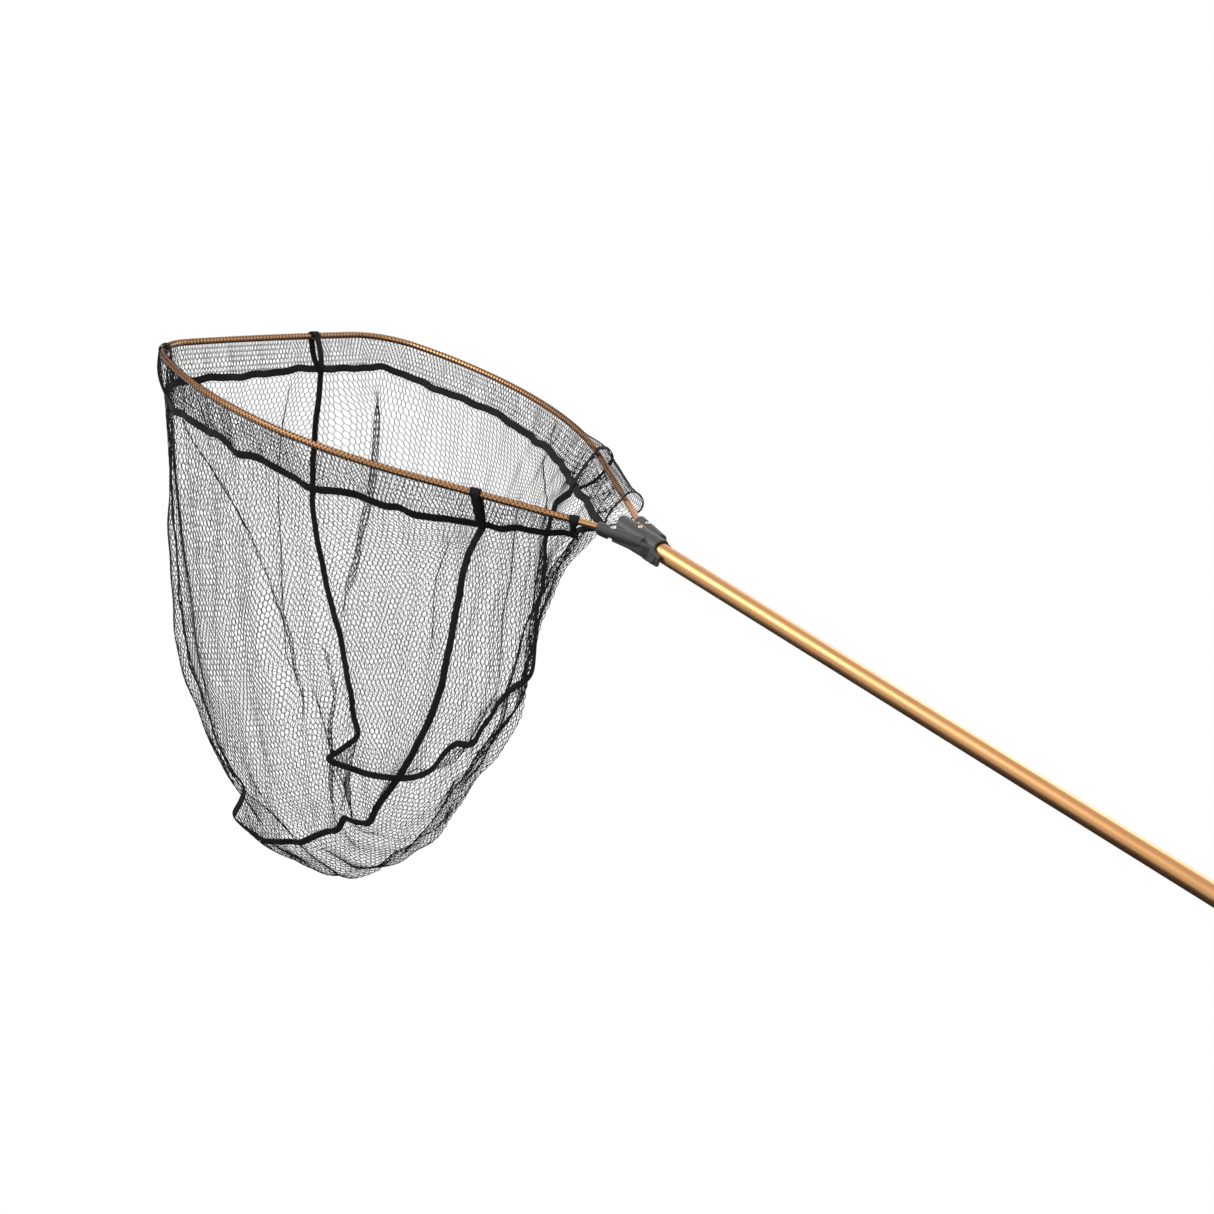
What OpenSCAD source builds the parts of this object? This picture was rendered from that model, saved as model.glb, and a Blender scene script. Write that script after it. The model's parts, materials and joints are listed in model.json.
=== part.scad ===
/* [Posture] */
// Angle by which the handle climbs from the butt to the net
pitch = 20; // [0:1:35]
// Angle by which the hoop droops below the line of the handle
droop = 3.2; // [0:0.1:8]

/* [Hoop] */
// Diameter of the hoop's rod
rod_d = 8; // [6:0.5:10]
// Distance from the block's rear end to the barrel mouths
mouth_f = 79; // [72:1:90]
// Distance from the centre line to the rod at a barrel mouth
mouth_g = 39; // [34:1:46]
// Angle at which each barrel spreads from the centre line
barrel_angle = 20; // [14:1:26]
// Angle at which each side of the hoop leaves its barrel
side_angle = 33.2; // [26:0.2:40]
// Length of the straight part of each side
side_straight = 223; // [150:1:260]
// Radius of the long bow of each side
side_r = 490; // [380:5:600]
// Turn of the long bow
side_turn = 52.7; // [45:0.1:58]
// Radius of each front corner
corner_r = 81; // [60:1:110]
// Turn of each front corner
corner_turn = 67.8; // [60:0.1:70]
// Radius of the small bend between barrel and side
neck_r = 60; // [40:5:100]

/* [Block] */
// Half width of the channel that the tube lies in
channel_w = 11.4; // [11.3:0.1:12.5]
// Thickness of the roof and walls over the tube
block_wall = 3; // [2.5:0.1:4]
// Distance from the block's rear end to the front of its nose
nose_f = 71; // [64:1:76]
// Outside radius of the barrels
barrel_r = 7.4; // [6.5:0.1:8.5]
// Length of rod held inside each barrel
barrel_grip = 48; // [36:1:54]
// Distance from the block's rear end back to the hinge pin
pin_f = 3; // [2:0.5:6]
// Distance from the tube's axis down to the hinge pin
pin_h = 6; // [4.5:0.5:7]
// Radius of the hinge pin
pin_r = 3; // [2:0.5:3.5]
// Shank radius of the rivets that hold the rod
rivet_r = 1.8; // [1.5:0.1:2.2]
// Distance from the block's rear end to the rivets
rivet_f = 54; // [48:1:60]
// Distance from the block's rear end to the lock button
button_f = 40; // [34:1:46]
// Radius of the lock button's stem
button_r = 2.6; // [2:0.1:3.2]
// Travel of the lock button
button_travel = 2.5; // [1.5:0.5:3]

/* [Handle] */
// Outside diameter of the outer tube
tube_d = 22; // [20:0.2:22.2]
// Wall of both tubes
tube_wall = 1.3; // [1:0.1:1.6]
// Length of the outer tube behind the block
tube_len = 840; // [600:10:1000]
// Length of the inner tube that stays inside at rest
inner_hidden = 600; // [400:10:700]
// Running gap between the two tubes, on the radius
tube_gap = 0.5; // [0.3:0.1:0.8]
// Outside radius of the twist collar
collar_r = 15.5; // [14:0.5:18]
// Length of the twist collar
collar_len = 42; // [34:1:50]
// Radius of the grip
grip_r = 16; // [14:0.5:19]
// Length of the grip
grip_len = 190; // [140:5:260]
// Gap between the collar and the grip
grip_gap = 10; // [6:1:30]
// Radius of the lanyard hole
lanyard_r = 3; // [2:0.5:4]

/* [Net] */
// Length of the sleeve from the rod down to the rim tape
sleeve_hang = 48; // [40:1:56]
// Play between the rod and the sleeve
sleeve_play = 1.4; // [1:0.1:3]
// Thickness of one layer of netting, as laid
net_t = 0.8; // [0.6:0.1:1.5]
// Wall of the net bag's solid
bag_t = 1.5; // [1:0.5:3]
// Width of the binding tape
tape_w = 9; // [6:0.5:12]
// Thickness of the binding tape
tape_t = 1.6; // [1:0.1:2.5]
// Depth of the bottom of the bag below the block's rear end
bottom_drop = 500; // [400:5:600]
// Half width of the centre panel at the bottom of the bag
bottom_half_w = 100; // [80:5:120]
// Distance along the near side from the barrel mouth to the end of the sleeve
near_start = 22; // [16:1:60]
// Distance along the far side from the barrel mouth to the end of the sleeve
far_start = 58; // [16:1:80]

/* [Hidden] */

gold = "#c9925a";
grey = "#4d504e";
black = "#1c1c20";
steel = "#b9bcbe";

fit = 0.05;            // radial clearance of a running fit
soft_gap = 0.4;        // room kept round the soft pieces
rod_r = rod_d / 2;
tube_r = tube_d / 2;
bore_r = tube_r - tube_wall;
inner_r = bore_r - tube_gap;
inner_bore = inner_r - tube_wall;
roof_r = tube_r + 1;                       // inside of the block's roof
block_r = roof_r + block_wall;             // outside of the block's roof
nose_end = 18;                             // front end of the tube's channel
knuckle_play = 0.4;                        // the knuckle's section over the tube's radius
through = 80;                              // longer than anything that it cuts
leg_f = pin_f + 9;                         // reach of the legs behind the block's rear end
skirt_h = 12;                              // depth of the block's sides below the tube's axis
collar_x = tube_len - 16;
grip_x = collar_x + collar_len + grip_gap;
grip_mid = grip_x + grip_len / 2;
butt_x = grip_x + grip_len;
tilt_f = 111;                              // where the hoop's plane crosses the tube's axis

// ---------- places and directions ----------
// The handle frame has x towards the butt, y to the far side and z square to the handle,
// with its origin on the tube's axis at the block's rear end.
function turn_y(p, a) = [p.x * cos(a) + p.z * sin(a), p.y, p.z * cos(a) - p.x * sin(a)];
function from_head(p) = turn_y([p.x + tilt_f, p.y, p.z], -droop) - [tilt_f, 0, 0];
function from_handle(p) = turn_y([p.x - grip_mid, p.y, p.z], pitch);
function in_place(p) = from_handle(from_head(p));

module handle_frame() {
    rotate([0, pitch, 0]) translate([-grip_mid, 0, 0]) children();
}
module head_frame() {
    handle_frame() translate([-tilt_f, 0, 0]) rotate([0, -droop, 0])
        translate([tilt_f, 0, 0]) children();
}
function mix(a, b, u) = a * (1 - u) + b * u;
module along_x(x) {
    translate([x, 0, 0]) rotate([0, 90, 0]) children();
}
module across(x, z) {
    translate([x, 0, z]) rotate([90, 0, 0]) children();
}

// ---------- outline of the hoop: straight side, long bow, corner, front bow ----------
// All in the hoop's plane, with f forward, g to the far side and headings from forward.
bow_f0 = mouth_f + side_straight * cos(side_angle);
bow_g0 = mouth_g + side_straight * sin(side_angle);
bow_c = [bow_f0 + side_r * sin(side_angle), bow_g0 - side_r * cos(side_angle)];
bow_end = side_angle - side_turn;
cor_f0 = bow_c.x - side_r * sin(bow_end);
cor_g0 = bow_c.y + side_r * cos(bow_end);
cor_c = [cor_f0 + corner_r * sin(bow_end), cor_g0 - corner_r * cos(bow_end)];
cor_end = bow_end - corner_turn;
fro_f0 = cor_c.x - corner_r * sin(cor_end);
fro_g0 = cor_c.y + corner_r * cos(cor_end);
fro_r = fro_g0 / cos(cor_end);
fro_c = fro_f0 + fro_r * sin(cor_end);
function arc_pt(c, r, heading) = [c.x - r * sin(heading), c.y + r * cos(heading)];

// Arc lengths at which the bow, the corner and the front begin, and where the front's middle is
bow_s = side_straight;
cor_s = bow_s + side_r * side_turn * PI / 180;
fro_s = cor_s + corner_r * corner_turn * PI / 180;
mid_s = fro_s + fro_r * (90 + cor_end) * PI / 180;

// Bow, corner and front of one side in so many steps each, as [f, g, heading, arc length]
function bend_pts(bow_n, corner_n, front_n) = concat(
    [for (i = [0 : bow_n - 1])
        let (u = i / bow_n, h = side_angle - side_turn * u, p = arc_pt(bow_c, side_r, h))
        [p.x, p.y, h, mix(bow_s, cor_s, u)]],
    [for (i = [0 : corner_n - 1])
        let (u = i / corner_n, h = bow_end - corner_turn * u, p = arc_pt(cor_c, corner_r, h))
        [p.x, p.y, h, mix(cor_s, fro_s, u)]],
    [for (i = [0 : front_n])
        let (u = i / front_n, h = mix(cor_end, -90, u), p = arc_pt([fro_c, 0], fro_r, h))
        [p.x, p.y, h, mix(fro_s, mid_s, u)]]);

// Half outline of the net's rim, from the sleeve's end to the middle of the front
sleeve_steps = 5;
bow_steps = 9;
corner_steps = 7;
front_steps = 4;
function half(start) = concat(
    [for (i = [0 : sleeve_steps - 1])
        let (s = mix(start, side_straight, i / sleeve_steps))
        [mouth_f + s * cos(side_angle), mouth_g + s * sin(side_angle), side_angle, s]],
    bend_pts(bow_steps, corner_steps, front_steps));
function mirrored(p) = [p.x, -p.y, -180 - p[2], 2 * mid_s - p[3]];
function far_to_near(far, near) = concat(far,
    [for (i = [len(near) - 2 : -1 : 0]) mirrored(near[i])]);
rim = far_to_near(half(far_start), half(near_start));
rim_n = len(rim);
// Stations where the strap loops sit and the seams of the bag begin
far_rear_i = sleeve_steps;
far_front_i = sleeve_steps + bow_steps + corner_steps + 1.85;
near_front_i = rim_n - 1 - (sleeve_steps + bow_steps + floor(corner_steps / 2));
near_rear_i = rim_n - 1 - 3;

// A point at station s of the rim: out is outwards in plan, up is straight up
function plan_side(s) =
    let (n = in_place([sin(s[2]), cos(s[2]), 0]) - in_place([0, 0, 0]),
         l = norm([n.x, n.y]))
    [n.x / l, n.y / l, 0];
function on_rod(s, out, up) = in_place([-s.x, s.y, 0]) + out * plan_side(s) + [0, 0, up];

// ---------- swept solids ----------
// Joins rings of equally many points, each ring a closed loop. The second half of a thin
// wall's ring is split along the other diagonal, so that both faces of the wall fold alike.
function ring_faces(rows, cols, closed, wall) = [
    for (i = [0 : rows - (closed ? 1 : 2)], j = [0 : cols - 1])
        let (a = i * cols, b = ((i + 1) % rows) * cols, k = (j + 1) % cols)
        each (wall && 2 * j >= cols ? [[a + j, a + k, b + j], [a + k, b + k, b + j]]
                                    : [[a + j, a + k, b + k], [a + j, b + k, b + j]])];
module sweep(rings, closed = false, wall = false) {
    rows = len(rings);
    cols = len(rings[0]);
    caps = closed ? [] : [[for (j = [cols - 1 : -1 : 0]) j],
                          [for (j = [0 : cols - 1]) (rows - 1) * cols + j]];
    polyhedron(points = [for (r = rings) each r],
               faces = concat(ring_faces(rows, cols, closed, wall), caps), convexity = 8);
}

// ---------- handle ----------
// Front end of the handle: rounded about the pin so that it clears the block's round roof
module knuckle(r, len) {
    across(pin_f, -pin_h) rotate_extrude($fn = 96) intersection() {
        translate([pin_h, 0]) circle(r = r, $fn = 96);
        translate([0, -r]) square([r + pin_h, 2 * r]);
    }
    translate([pin_f, -through / 2, -through / 2]) cube([len, through, through]);
}
module outer_tube() {
    color(gold) handle_frame() difference() {
        intersection() {
            along_x(-20) cylinder(r = tube_r, h = tube_len + 20, $fn = 96);
            knuckle(tube_r + knuckle_play, tube_len);
        }
        along_x(-21) cylinder(r = bore_r, h = tube_len + 30, $fn = 96);
        across(pin_f, -pin_h) cylinder(r = pin_r + fit, h = through, center = true, $fn = 48);
    }
}

// Moulded plug that fills the front end of the outer tube and turns on the hinge pin
module tube_plug() {
    plug_len = 46;
    color(grey) handle_frame() difference() {
        intersection() {
            along_x(-20) cylinder(r = bore_r - fit, h = plug_len + 20, $fn = 96);
            knuckle(bore_r + knuckle_play, plug_len);
        }
        across(pin_f, -pin_h) cylinder(r = pin_r + fit, h = through, center = true, $fn = 48);
        along_x(plug_len - 26) cylinder(r = 5, h = 40, $fn = 48);
    }
}

module inner_tube() {
    inner_len = inner_hidden + butt_x - tube_len - 4;
    color(gold) handle_frame() difference() {
        along_x(tube_len - inner_hidden) cylinder(r = inner_r, h = inner_len, $fn = 96);
        along_x(tube_len - inner_hidden - 1) cylinder(r = inner_bore, h = inner_len + 2, $fn = 96);
    }
}

// Bush on the hidden end of the inner tube, which guides it in the outer tube
module slide_bush() {
    bush_len = 30;
    lip_len = 20;
    color(black) handle_frame() difference() {
        union() {
            along_x(tube_len - inner_hidden - lip_len) cylinder(r = bore_r - fit, h = lip_len, $fn = 96);
            along_x(tube_len - inner_hidden) cylinder(r = inner_bore, h = bush_len, $fn = 96);
        }
        along_x(tube_len - inner_hidden - lip_len - 1) cylinder(r = 5, h = bush_len + 30, $fn = 48);
    }
}

// Collet at the rear end of the outer tube, which the twist collar squeezes
collet_len = 20;
collet_lip = 3;
module collet() {
    slit_w = 1.5;
    color(black) handle_frame() difference() {
        union() {
            along_x(tube_len) cylinder(r = tube_r + 1.2, h = collet_lip, $fn = 96);
            along_x(tube_len + collet_lip) cylinder(r = tube_r, h = collet_len - collet_lip, $fn = 96);
        }
        along_x(tube_len - 1) cylinder(r = inner_r + fit, h = collet_len + 2, $fn = 96);
        for (a = [0 : 60 : 300]) {
            translate([tube_len + collet_lip, 0, 0]) rotate([a, 0, 0])
                translate([0, -slit_w / 2, 0]) cube([collet_len, slit_w, tube_r + 2]);
        }
    }
}

// Hand-sized collar that turns a quarter turn on the end of the outer tube
module twist_collar() {
    ribs = 18;
    rib_r = 1.1;
    seat_r = tube_r + 1.3;
    x1 = collar_x;
    color(grey) handle_frame() difference() {
        union() {
            along_x(x1) cylinder(r1 = collar_r - 1.5, r2 = collar_r, h = 3, $fn = 96);
            along_x(x1 + 3) cylinder(r = collar_r, h = collar_len - 6, $fn = 96);
            along_x(x1 + collar_len - 3) cylinder(r1 = collar_r, r2 = collar_r - 1.5, h = 3, $fn = 96);
            for (i = [0 : ribs - 1]) {
                rotate([i * 360 / ribs, 0, 0]) translate([0, 0, collar_r])
                    along_x(x1 + 5) cylinder(r = rib_r, h = collar_len - 10, $fn = 24);
            }
        }
        along_x(x1 - 1) cylinder(r = tube_r + fit, h = tube_len - x1 + 1 - fit, $fn = 96);
        along_x(tube_len - fit) cylinder(r = seat_r, h = collet_len + 2 * fit, $fn = 96);
        along_x(tube_len) cylinder(r = inner_r + 0.5, h = collar_len, $fn = 96);
    }
}

module grip() {
    lead = 4;
    color(black) handle_frame() difference() {
        union() {
            along_x(grip_x) cylinder(r1 = grip_r - 3, r2 = grip_r, h = lead, $fn = 96);
            along_x(grip_x + lead) cylinder(r = grip_r, h = grip_len - lead, $fn = 96);
        }
        along_x(grip_x - 1) cylinder(r = inner_r, h = grip_len + 2, $fn = 96);
    }
}

// Cap on the butt, with a tab that is drilled for a lanyard
module butt_cap() {
    plug_len = 24;
    flange_len = 8;
    tab_len = 16;
    tab_t = 8;
    color(grey) handle_frame() difference() {
        union() {
            along_x(butt_x - 4 - plug_len) cylinder(r = inner_bore, h = plug_len + 4, $fn = 96);
            along_x(butt_x) cylinder(r = grip_r, h = flange_len - 2, $fn = 96);
            along_x(butt_x + flange_len - 2) cylinder(r1 = grip_r, r2 = grip_r - 2, h = 2, $fn = 96);
            translate([butt_x + flange_len - 1, -tab_t / 2, -tab_len / 2])
                cube([tab_len / 2 + 1, tab_t, tab_len]);
            across(butt_x + flange_len + tab_len / 2, 0)
                cylinder(r = tab_len / 2, h = tab_t, center = true, $fn = 64);
        }
        across(butt_x + flange_len + tab_len / 2, 0)
            cylinder(r = lanyard_r, h = 40, center = true, $fn = 48);
    }
}

// ---------- block ----------
module both_sides() {
    children();
    mirror([0, 1, 0]) children();
}
module in_hoop_plane() {
    translate([-tilt_f, 0, 0]) rotate([0, -droop, 0]) translate([tilt_f, 0, 0]) children();
}
// A cylinder on a barrel's line, between two distances behind the bend of the rod
module on_barrel(r, from, to) {
    translate([-mouth_f, mouth_g, 0]) rotate([0, 0, -barrel_angle])
        translate([from, 0, 0]) rotate([0, 90, 0]) cylinder(r = r, h = to - from, $fn = 72);
}
neck_turn = side_angle - barrel_angle;
neck_run = neck_r * tan(neck_turn / 2);
barrel_len = 66;
lip = 1.4;
leg_w = channel_w + 5.4;
rivet_g = mouth_g - (mouth_f - rivet_f) * tan(barrel_angle);
rivet_seat = rod_r + 1.6;
head_r = 3.4;
button_floor = 2.5;
seat_t = 1.2;
button_well = button_r + 1.4;
web_h = 6.5;
under_h = 1;                               // underside of the solid part of the block

// Web between the centre and a barrel, as seen from above
module web_half() {
    polygon([[leg_f - 3, 0], [leg_f - 3, leg_w - 0.5], [-4, leg_w - 0.5], [-12, leg_w + 5],
             [-mouth_f + neck_run + 3, mouth_g - 1], [-nose_f + 10, block_r + 6],
             [-nose_f + 9, 0]]);
}
// Round roof on straight sides
module roof(r, x0, x1) {
    along_x(x0) cylinder(r = r, h = x1 - x0, $fn = 96);
    translate([x0, -r, -skirt_h]) cube([x1 - x0, 2 * r, skirt_h]);
}
// The roof stops short of the legs and its edge sweeps down and back to them
module rear_cut() {
    rotate([90, 0, 0]) linear_extrude(height = 80, center = true)
        polygon([[-2, 40], [-2, 11], [-0.5, 6], [3, 2.5], [leg_f + 1, 0.5], [leg_f + 1, 40]]);
}
module block_body() {
    intersection() {
        roof(block_r, -nose_f, leg_f);
        union() {
            translate([-nose_f + block_r, 0, -30]) cylinder(r = block_r, h = 60, $fn = 96);
            translate([-nose_f + block_r, -40, -30]) cube([100, 80, 60]);
        }
    }
    translate([0, 0, -web_h]) both_sides() linear_extrude(height = 2 * web_h) web_half();
    translate([-leg_f, -leg_w, -skirt_h]) cube([2 * leg_f, 2 * leg_w, skirt_h + 3]);
    in_hoop_plane() both_sides() {
        on_barrel(barrel_r, neck_run + lip, barrel_len);
        translate([-mouth_f, mouth_g, 0]) rotate([0, 0, -barrel_angle]) translate([neck_run, 0, 0])
            rotate([0, 90, 0]) cylinder(r1 = barrel_r - lip, r2 = barrel_r, h = lip, $fn = 72);
    }
}
module spreader_block() {
    color(grey) handle_frame() difference() {
        block_body();
        // channel for the tube's end, and the open underside in front of it
        intersection() {
            roof(roof_r, -nose_end, leg_f + 1);
            translate([-nose_end, -channel_w, -60]) cube([60, 2 * channel_w, 120]);
        }
        translate([-nose_f + 5, -channel_w, -60])
            cube([nose_f + 30, 2 * channel_w, 60 + under_h]);
        rear_cut();
        // hinge pin, rivets and rod bores
        across(pin_f, -pin_h) cylinder(r = pin_r, h = 80, center = true, $fn = 48);
        in_hoop_plane() both_sides() {
            on_barrel(rod_r + fit, -10, barrel_grip);
            translate([-rivet_f, rivet_g, -20]) cylinder(r = rivet_r + fit, h = 40, $fn = 48);
            translate([-rivet_f, rivet_g, rivet_seat]) cylinder(r = head_r + 0.6, h = 20, $fn = 48);
            translate([-rivet_f, rivet_g, -rivet_seat - 20])
                cylinder(r = head_r + 0.6, h = 20, $fn = 48);
        }
        // well of the lock button
        translate([-button_f, 0, button_floor]) cylinder(r = button_well, h = 40, $fn = 48);
        translate([-button_f, 0, block_r - 2]) cylinder(r = button_well + 1.4, h = 20, $fn = 48);
    }
}

// Domed rivets through block and rod; flat heads below
module hoop_rivets() {
    dome = 1.8;
    dome_r = 4.2;
    color(steel) head_frame() both_sides() translate([-rivet_f, rivet_g, 0]) {
        translate([0, 0, -rivet_seat - 1]) cylinder(r = rivet_r, h = 2 * rivet_seat + 2, $fn = 48);
        translate([0, 0, rivet_seat]) intersection() {
            translate([0, 0, dome - dome_r]) sphere(r = dome_r, $fn = 64);
            cylinder(r = head_r, h = 6, $fn = 64);
        }
        translate([0, 0, -rivet_seat - 1]) cylinder(r = head_r, h = 1, $fn = 48);
    }
}

module hinge_pin() {
    head_t = 1.6;
    color(steel) handle_frame() {
        across(pin_f, -pin_h) cylinder(r = pin_r, h = 2 * (leg_w + 1), center = true, $fn = 48);
        both_sides() translate([pin_f, leg_w + 1, -pin_h]) rotate([-90, 0, 0])
            cylinder(r1 = pin_r + 1.8, r2 = pin_r + 0.8, h = head_t, $fn = 48);
    }
}
module pin_washers() {
    color(steel) handle_frame() both_sides() translate([pin_f, leg_w, -pin_h]) rotate([-90, 0, 0])
        difference() {
            cylinder(r = pin_r + 2.4, h = 1, $fn = 48);
            translate([0, 0, -1]) cylinder(r = pin_r, h = 3, $fn = 48);
        }
}

// Domed lock button, the spring below it and the cup that the spring stands in
stem_h = 6;
button_top = block_r + 0.6;
module lock_button() {
    dome_r = 3.2;
    color(steel) handle_frame() translate([-button_f, 0, button_top - stem_h]) {
        cylinder(r = button_r, h = stem_h - 1, $fn = 48);
        cylinder(r = button_well - 0.4, h = 1.4, $fn = 48);
        translate([0, 0, stem_h - 2]) intersection() {
            translate([0, 0, 2 - dome_r]) sphere(r = dome_r, $fn = 64);
            cylinder(r = dome_r - 0.2, h = 4, $fn = 48);
        }
    }
}
module button_spring() {
    turns = 4;
    wire_r = 0.4;
    coil_r = 2;
    low = button_floor + seat_t + wire_r;
    high = button_top - stem_h - wire_r;
    color(steel) handle_frame() for (i = [0 : turns - 1]) {
        translate([-button_f, 0, low + (high - low) * i / (turns - 1)])
            rotate_extrude($fn = 48) translate([coil_r, 0]) circle(r = wire_r, $fn = 16);
    }
}
module button_seat() {
    color(black) handle_frame() translate([-button_f, 0, button_floor])
        cylinder(r = button_well, h = seat_t, $fn = 48);
}

// ---------- hoop ----------
// The rod is one length: barrel, neck bend, side, and so round to the other barrel
rod_sides = 24;
neck_steps = 4;
bend = [mouth_f - neck_run * cos(barrel_angle), mouth_g - neck_run * sin(barrel_angle)];
neck_c = bend + neck_r * [-sin(barrel_angle), cos(barrel_angle)];
rod_half = concat(
    [[bend.x - (barrel_grip - neck_run - 1) * cos(barrel_angle),
      bend.y - (barrel_grip - neck_run - 1) * sin(barrel_angle), barrel_angle, 0]],
    [for (i = [0 : neck_steps])
        let (h = barrel_angle + neck_turn * i / neck_steps)
        [neck_c.x + neck_r * sin(h), neck_c.y - neck_r * cos(h), h, 0]],
    bend_pts(20, 14, 6));
function rod_ring(s) = [for (i = [0 : rod_sides - 1])
    let (a = 360 * i / rod_sides, out = rod_r * cos(a))
    in_place([-s.x + out * sin(s[2]), s.y + out * cos(s[2]), rod_r * sin(a)])];
module hoop() {
    color(gold) sweep([for (s = far_to_near(rod_half, rod_half)) rod_ring(s)]);
}

// ---------- net ----------
// The sleeve hangs from the rod at an angle, inwards, that changes along the rim. Both lists
// run from the far end of the sleeve (0) to the near end (1).
lean_at = [[0, 45], [0.1, 42], [0.25, 18], [0.37, 26], [0.46, 10], [0.56, 2], [0.6, -3], [0.64, 2],
           [0.75, 14], [0.93, 30], [1, 42]];
hang_at = [[0, 0.75], [0.1, 1], [0.2, 0.86], [0.5, 0.86], [0.58, 1], [0.65, 1.05], [0.85, 1.04],
           [0.93, 0.9], [1, 0.45]];
function rim_u(s) = (s[3] - far_start) / (2 * mid_s - near_start - far_start);
function lean(s) = lookup(rim_u(s), lean_at);
function hang(s) = sleeve_hang * lookup(rim_u(s), hang_at);
// A point of the leaning section: o across the sleeve, h up from the middle of the rod
function hung(s, o, h) =
    let (a = lean(s)) on_rod(s, o * cos(a) + h * sin(a), h * cos(a) - o * sin(a));

hem_r = rod_r + sleeve_play;
// Hairpin section: down the outside, over the rod and down the inside
function hairpin(s, r, low, half_t) = concat(
    [hung(s, half_t, low)],
    [for (a = [0 : 30 : 180]) hung(s, r * cos(a), r * sin(a))],
    [hung(s, -half_t, low)]);
function reversed(list) = [for (i = [len(list) - 1 : -1 : 0]) list[i]];
function sleeve_ring(s) = concat(
    hairpin(s, hem_r + net_t, -hang(s), tape_t / 2 + net_t),
    reversed(hairpin(s, hem_r, -hang(s), tape_t / 2)));
module net_sleeve() {
    color(black) sweep([for (s = rim) sleeve_ring(s)], wall = true);
}

// Closed rim below the sleeve, with a shallow bow across the rear. Station i, o across and h down.
rear_steps = 4;
rear_bow = 20;
ring_n = rim_n + rear_steps - 1;
function edge(i, o, h) = let (j = i % ring_n)
    j < rim_n ? hung(rim[j], o, -hang(rim[j]) - h)
    : let (v = (j - rim_n + 1) / rear_steps)
      mix(edge(rim_n - 1, o, h), edge(0, o, h), v) - [4 * rear_bow * v * (1 - v), 0, 0];
module rim_tape() {
    low = soft_gap + tape_w;
    t = tape_t / 2;
    color(black) sweep([for (i = [0 : ring_n - 1])
        [edge(i, t, low), edge(i, t, soft_gap), edge(i, -t, soft_gap), edge(i, -t, low)]], true);
}

// Seams and middle line of the bag, front to rear, from the block's rear end. Each begins
// and ends below the rim tape.
bag_h = tape_w + 2 * soft_gap;
function rim_pt(i) = let (j = floor(i)) mix(edge(j, 0, bag_h), edge(j + 1, 0, bag_h), i - j);
rear_end = from_handle([0, 0, 0]);
function from_rear_end(list) = [for (p = list) rear_end + p];
near_line = concat([rim_pt(near_front_i)], from_rear_end([
    [-718, -168, -50], [-725, -145, -215], [-675, -bottom_half_w - 15, -370],
    [-635, -bottom_half_w - 2, 55 - bottom_drop], [-510, -bottom_half_w, 85 - bottom_drop],
    [-400, -bottom_half_w - 1, 140 - bottom_drop], [-275, -bottom_half_w - 10, -210],
    [-215, -bottom_half_w - 12, -30]]),
    [rim_pt(near_rear_i)]);
far_line = concat([rim_pt(far_front_i)], from_rear_end([
    [-762, bottom_half_w, -10], [-735, bottom_half_w + 10, -175],
    [-690, bottom_half_w + 5, -300], [-705, bottom_half_w, 118 - bottom_drop],
    [-610, bottom_half_w, 107 - bottom_drop], [-500, bottom_half_w + 2, 140 - bottom_drop],
    [-400, bottom_half_w + 17, -258], [-338, bottom_half_w + 30, -120],
    [-325, bottom_half_w + 44, 0]]),
    [rim_pt(ring_n + far_rear_i)]);
mid_line = concat([rim_pt((near_front_i + far_front_i) / 2)], from_rear_end([
    [-780, -42, -60], [-758, -25, -285], [-672, -10, 50 - bottom_drop], [-578, 0, -bottom_drop],
    [-480, 0, 44 - bottom_drop], [-360, 0, -364], [-255, 0, -228], [-212, 5, -95]]),
    [rim_pt(rim_n - 1 + rear_steps / 2)]);

// Smooth line through all points of a list, u from 0 to 1
function spline(list, u) =
    let (n = len(list) - 1, i = max(0, min(floor(u * n), n - 1)), v = u * n - i,
         b = list[i], c = list[i + 1], a = i > 0 ? list[i - 1] : 2 * b - c,
         e = i < n - 1 ? list[i + 2] : 2 * c - b)
    b + v / 2 * (c - a + v * (2 * a - 5 * b + 4 * c - e + v * (3 * b - a - 3 * c + e)));

// Patch between four edges, p across and q down; each side's own functions are below
function patch(p, q, t, b, l, r, c) =
    t * (1 - q) + b * q + l * (1 - p) + r * p
    - (c[0] * (1 - p) + c[1] * p) * (1 - q) - (c[2] * (1 - p) + c[3] * p) * q;
// A side panel: its front and rear edges are the seam's legs, its bottom edge the seam's bottom
function side_pt(line, i0, i1, u1, u2, p, q) =
    patch(p, q, rim_pt(mix(i0, i1, p)), spline(line, mix(u1, u2, p)),
          spline(line, q * u1), spline(line, 1 - q * (1 - u2)),
          [line[0], line[len(line) - 1], spline(line, u1), spline(line, u2)]);
near_turns = [0.42, 0.7];
far_turns = [0.4, 0.62];
function near_pt(p, q) =
    side_pt(near_line, near_front_i, near_rear_i, near_turns[0], near_turns[1], p, q);
function far_pt(p, q) =
    side_pt(far_line, far_front_i, far_rear_i, far_turns[0], far_turns[1], p, q);
// The centre panel: a channel between both seams, through the middle line
function flat_centre_pt(p, q) =
    patch(p, q, rim_pt(mix(near_front_i, far_front_i, p)),
          rim_pt(mix(near_rear_i, ring_n + far_rear_i, p)),
          spline(near_line, q), spline(far_line, q),
          [near_line[0], far_line[0], near_line[len(near_line) - 1], far_line[len(far_line) - 1]]);
fullness = 0.65;                           // below 1, the panel is rounder than a parabola
function centre_pt(p, q) = flat_centre_pt(p, q)
    + pow(max(0, 4 * p * (1 - p)), fullness) * (spline(mid_line, q) - flat_centre_pt(0.5, q));

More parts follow.
